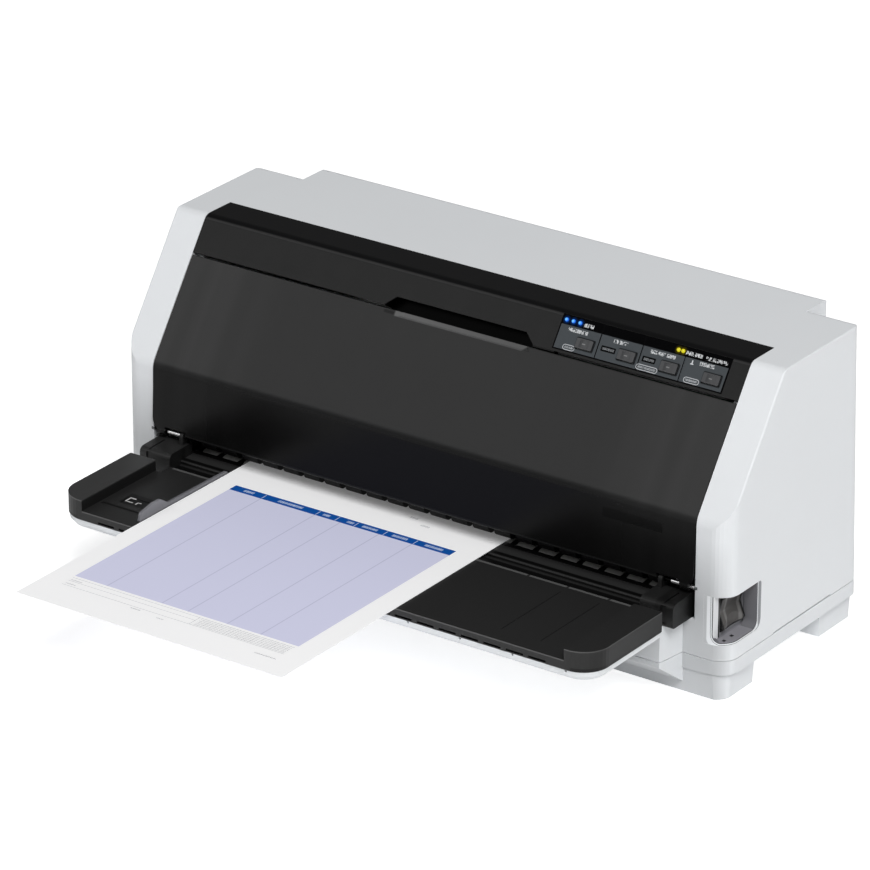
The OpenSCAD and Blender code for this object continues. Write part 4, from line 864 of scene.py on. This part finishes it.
# Section across the bead, from its inner groove to its outer one: (distance across, distance out)
BEAD_SECTION = ((-0.95, -0.26), (-0.5, -0.26), (-0.42, -0.05), (0, -0.01), (0.42, -0.05), (0.5, -0.26),
                (0.85, -0.26), (0.9, -0.1))
# How far the rim reaches into the case, and how far from SIDE_FROM on
RIM_DEPTH, RIM_SIDE_DEPTH, SIDE_FROM = -3.0, -9.8, 30
# Outline outside which the rim gets the case's painted shade, and its corners' radius
RIM_XS, RIM_ZS, RIM_R = (224.4, 262), (38.8, 120), 5


def left_edge_point(angle):
    """Point on the opening's square lower left corner, seen at that angle from the bend's centre."""
    if angle < math.pi / 4 - 1e-6:
        return (EDGE_LEFT, EDGE_LOW + (1 - math.tan(angle)) * BEAD_BEND)
    if angle < math.pi / 4 + 1e-6:
        return (EDGE_LEFT, EDGE_LOW)
    return (BEAD_LEFT + BEAD_BEND * (1 - math.cos(angle) / math.sin(angle)), EDGE_LOW)


def rim_path():
    """Stations along the bead: its place, the direction away from the switch, and the opening's edge."""
    centre_z = BEAD_LOW + BEAD_BEND
    left_x, right_x = BEAD_LEFT + BEAD_BEND, BEAD_RIGHT - BEAD_BEND
    angles = [math.pi / 2 * i / BEND_STEPS for i in range(BEND_STEPS + 1)]
    path = [(BEAD_LEFT, RIM_TOP, -1, 0, EDGE_LEFT, RIM_TOP)]
    for angle in angles:
        across, down = math.cos(angle), math.sin(angle)
        path.append((left_x - BEAD_BEND * across, centre_z - BEAD_BEND * down, -across, -down,
                     *left_edge_point(angle)))
    for i in range(1, STRAIGHT_STEPS):
        along = left_x + (right_x - left_x) * i / STRAIGHT_STEPS
        path.append((along, BEAD_LOW, 0, -1, along, EDGE_LOW))
    for angle in angles:
        across, down = math.sin(angle), math.cos(angle)
        path.append((right_x + BEAD_BEND * across, centre_z - BEAD_BEND * down, across, -down,
                     right_x + (EDGE_RIGHT - right_x) * across, centre_z - (centre_z - EDGE_LOW) * down))
    path.append((BEAD_RIGHT, RIM_TOP, 1, 0, EDGE_RIGHT, RIM_TOP))
    return path


def switch_rim():
    """Rim round the switch: a pale bead between two fine grooves, out to the edge of the opening."""
    pale_slot, dark_slot, shade_slot = 0, 1, 2
    rows = []
    for along, z, across, down, edge_along, edge_z in rim_path():
        depth = RIM_DEPTH if along < SIDE_FROM else RIM_SIDE_DEPTH
        inner = BEAD_SECTION[0][0]
        row = [on_corner(along + inner * across, z + inner * down, depth)]
        row += [on_corner(along + off * across, z + off * down, out) for off, out in BEAD_SECTION]
        row.append(on_corner(edge_along, edge_z, BEAD_SECTION[-1][1]))
        row.append(on_corner(edge_along, edge_z, RIM_DEPTH))
        rows.append(row)
    pale = moulded("rim_white_plastic", *CASE_WHITE)
    # Painted shade on the rear edge, and the case's painted shade towards the floor outside a rounded
    # outline
    pale.paint(pale.over(pale.y, 36.0, 36.6), srgb(140, 142, 146))
    paint_shade_down(pale, pale.over(pale.pill(pale.x, *RIM_XS, pale.z, *RIM_ZS, RIM_R), -0.3, 0.3))
    # The grooves and the walls inside the rim are painted grey as their shade
    dark = moulded("rim_groove_shade", srgb(58, 60, 64), 0.5, 0.35, 0.006, 0.02)
    shade = moulded("rim_wall_shade", srgb(112, 112, 116), 0.4, 0.35, 0.006, 0.02)
    groove, bead, flange = [dark_slot] * 2, [pale_slot] * 2, [pale_slot] * 3
    slots = [shade_slot, *groove, *bead, *groove, *flange, shade_slot]
    closed_solid("switch_rim", rows, [pale.finished(), dark.finished(), shade.finished()], slots)


def corner_cutter(side):
    """What stands outside the round corner at one front foot, up to the case's skirt."""
    # The cut goes a hair inside the corner and reaches past the foot's outside and floor
    radius, beyond, under, steps = CORNER_R - 0.1, 3, 1, 14
    centre_x, centre_y = FEET_HALF - CORNER_R, CORNER_R
    angles = [math.pi / 2 * i / steps for i in range(steps + 1)]
    arc = [(centre_x + radius * math.cos(a), centre_y - radius * math.sin(a)) for a in angles]
    outline = arc + [(centre_x, -beyond), (FEET_HALF + beyond, -beyond), (FEET_HALF + beyond, centre_y)]
    bm = bmesh.new()
    bm.faces.new([bm.verts.new((side * x * MM, y * MM, -under * MM)) for x, y in outline])
    grow_up(bm, SKIRT_Z + under)
    cutter = place_object("corner_cutter", mesh_of(bm, "corner_cutter"))
    bpy.context.view_layer.update()
    return cutter


def rounded_feet():
    """The lower case with its front feet rounded like the case's upright corners."""
    piece = place_object("lower_case_shell", NODES["lower_case"].data.copy())
    for side in (-1, 1):
        cutter = corner_cutter(side)
        cut = piece.modifiers.new("round", "BOOLEAN")
        cut.operation = "DIFFERENCE"
        cut.solver = "EXACT"
        cut.object = cutter
        depsgraph = bpy.context.evaluated_depsgraph_get()
        shaped = bpy.data.meshes.new_from_object(piece.evaluated_get(depsgraph))
        piece.modifiers.clear()
        piece.data = shaped
        bpy.data.objects.remove(cutter)
    piece.data.name = "lower_case_shell"
    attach(piece, "root")
    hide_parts("lower_case")


for step in (add_camera, add_floor, add_light,
             dress_case, dress_cover, dress_bar, dress_overlay, dress_keys, dress_lights, dress_print,
             dress_bezel, dress_rocker, dress_entrance, dress_table, dress_guide,
             dress_pins, dress_board, dress_metals, dress_plastics, dress_rubbers,
             notch_end, roller_plate, switch_rim, rounded_feet):
    step()
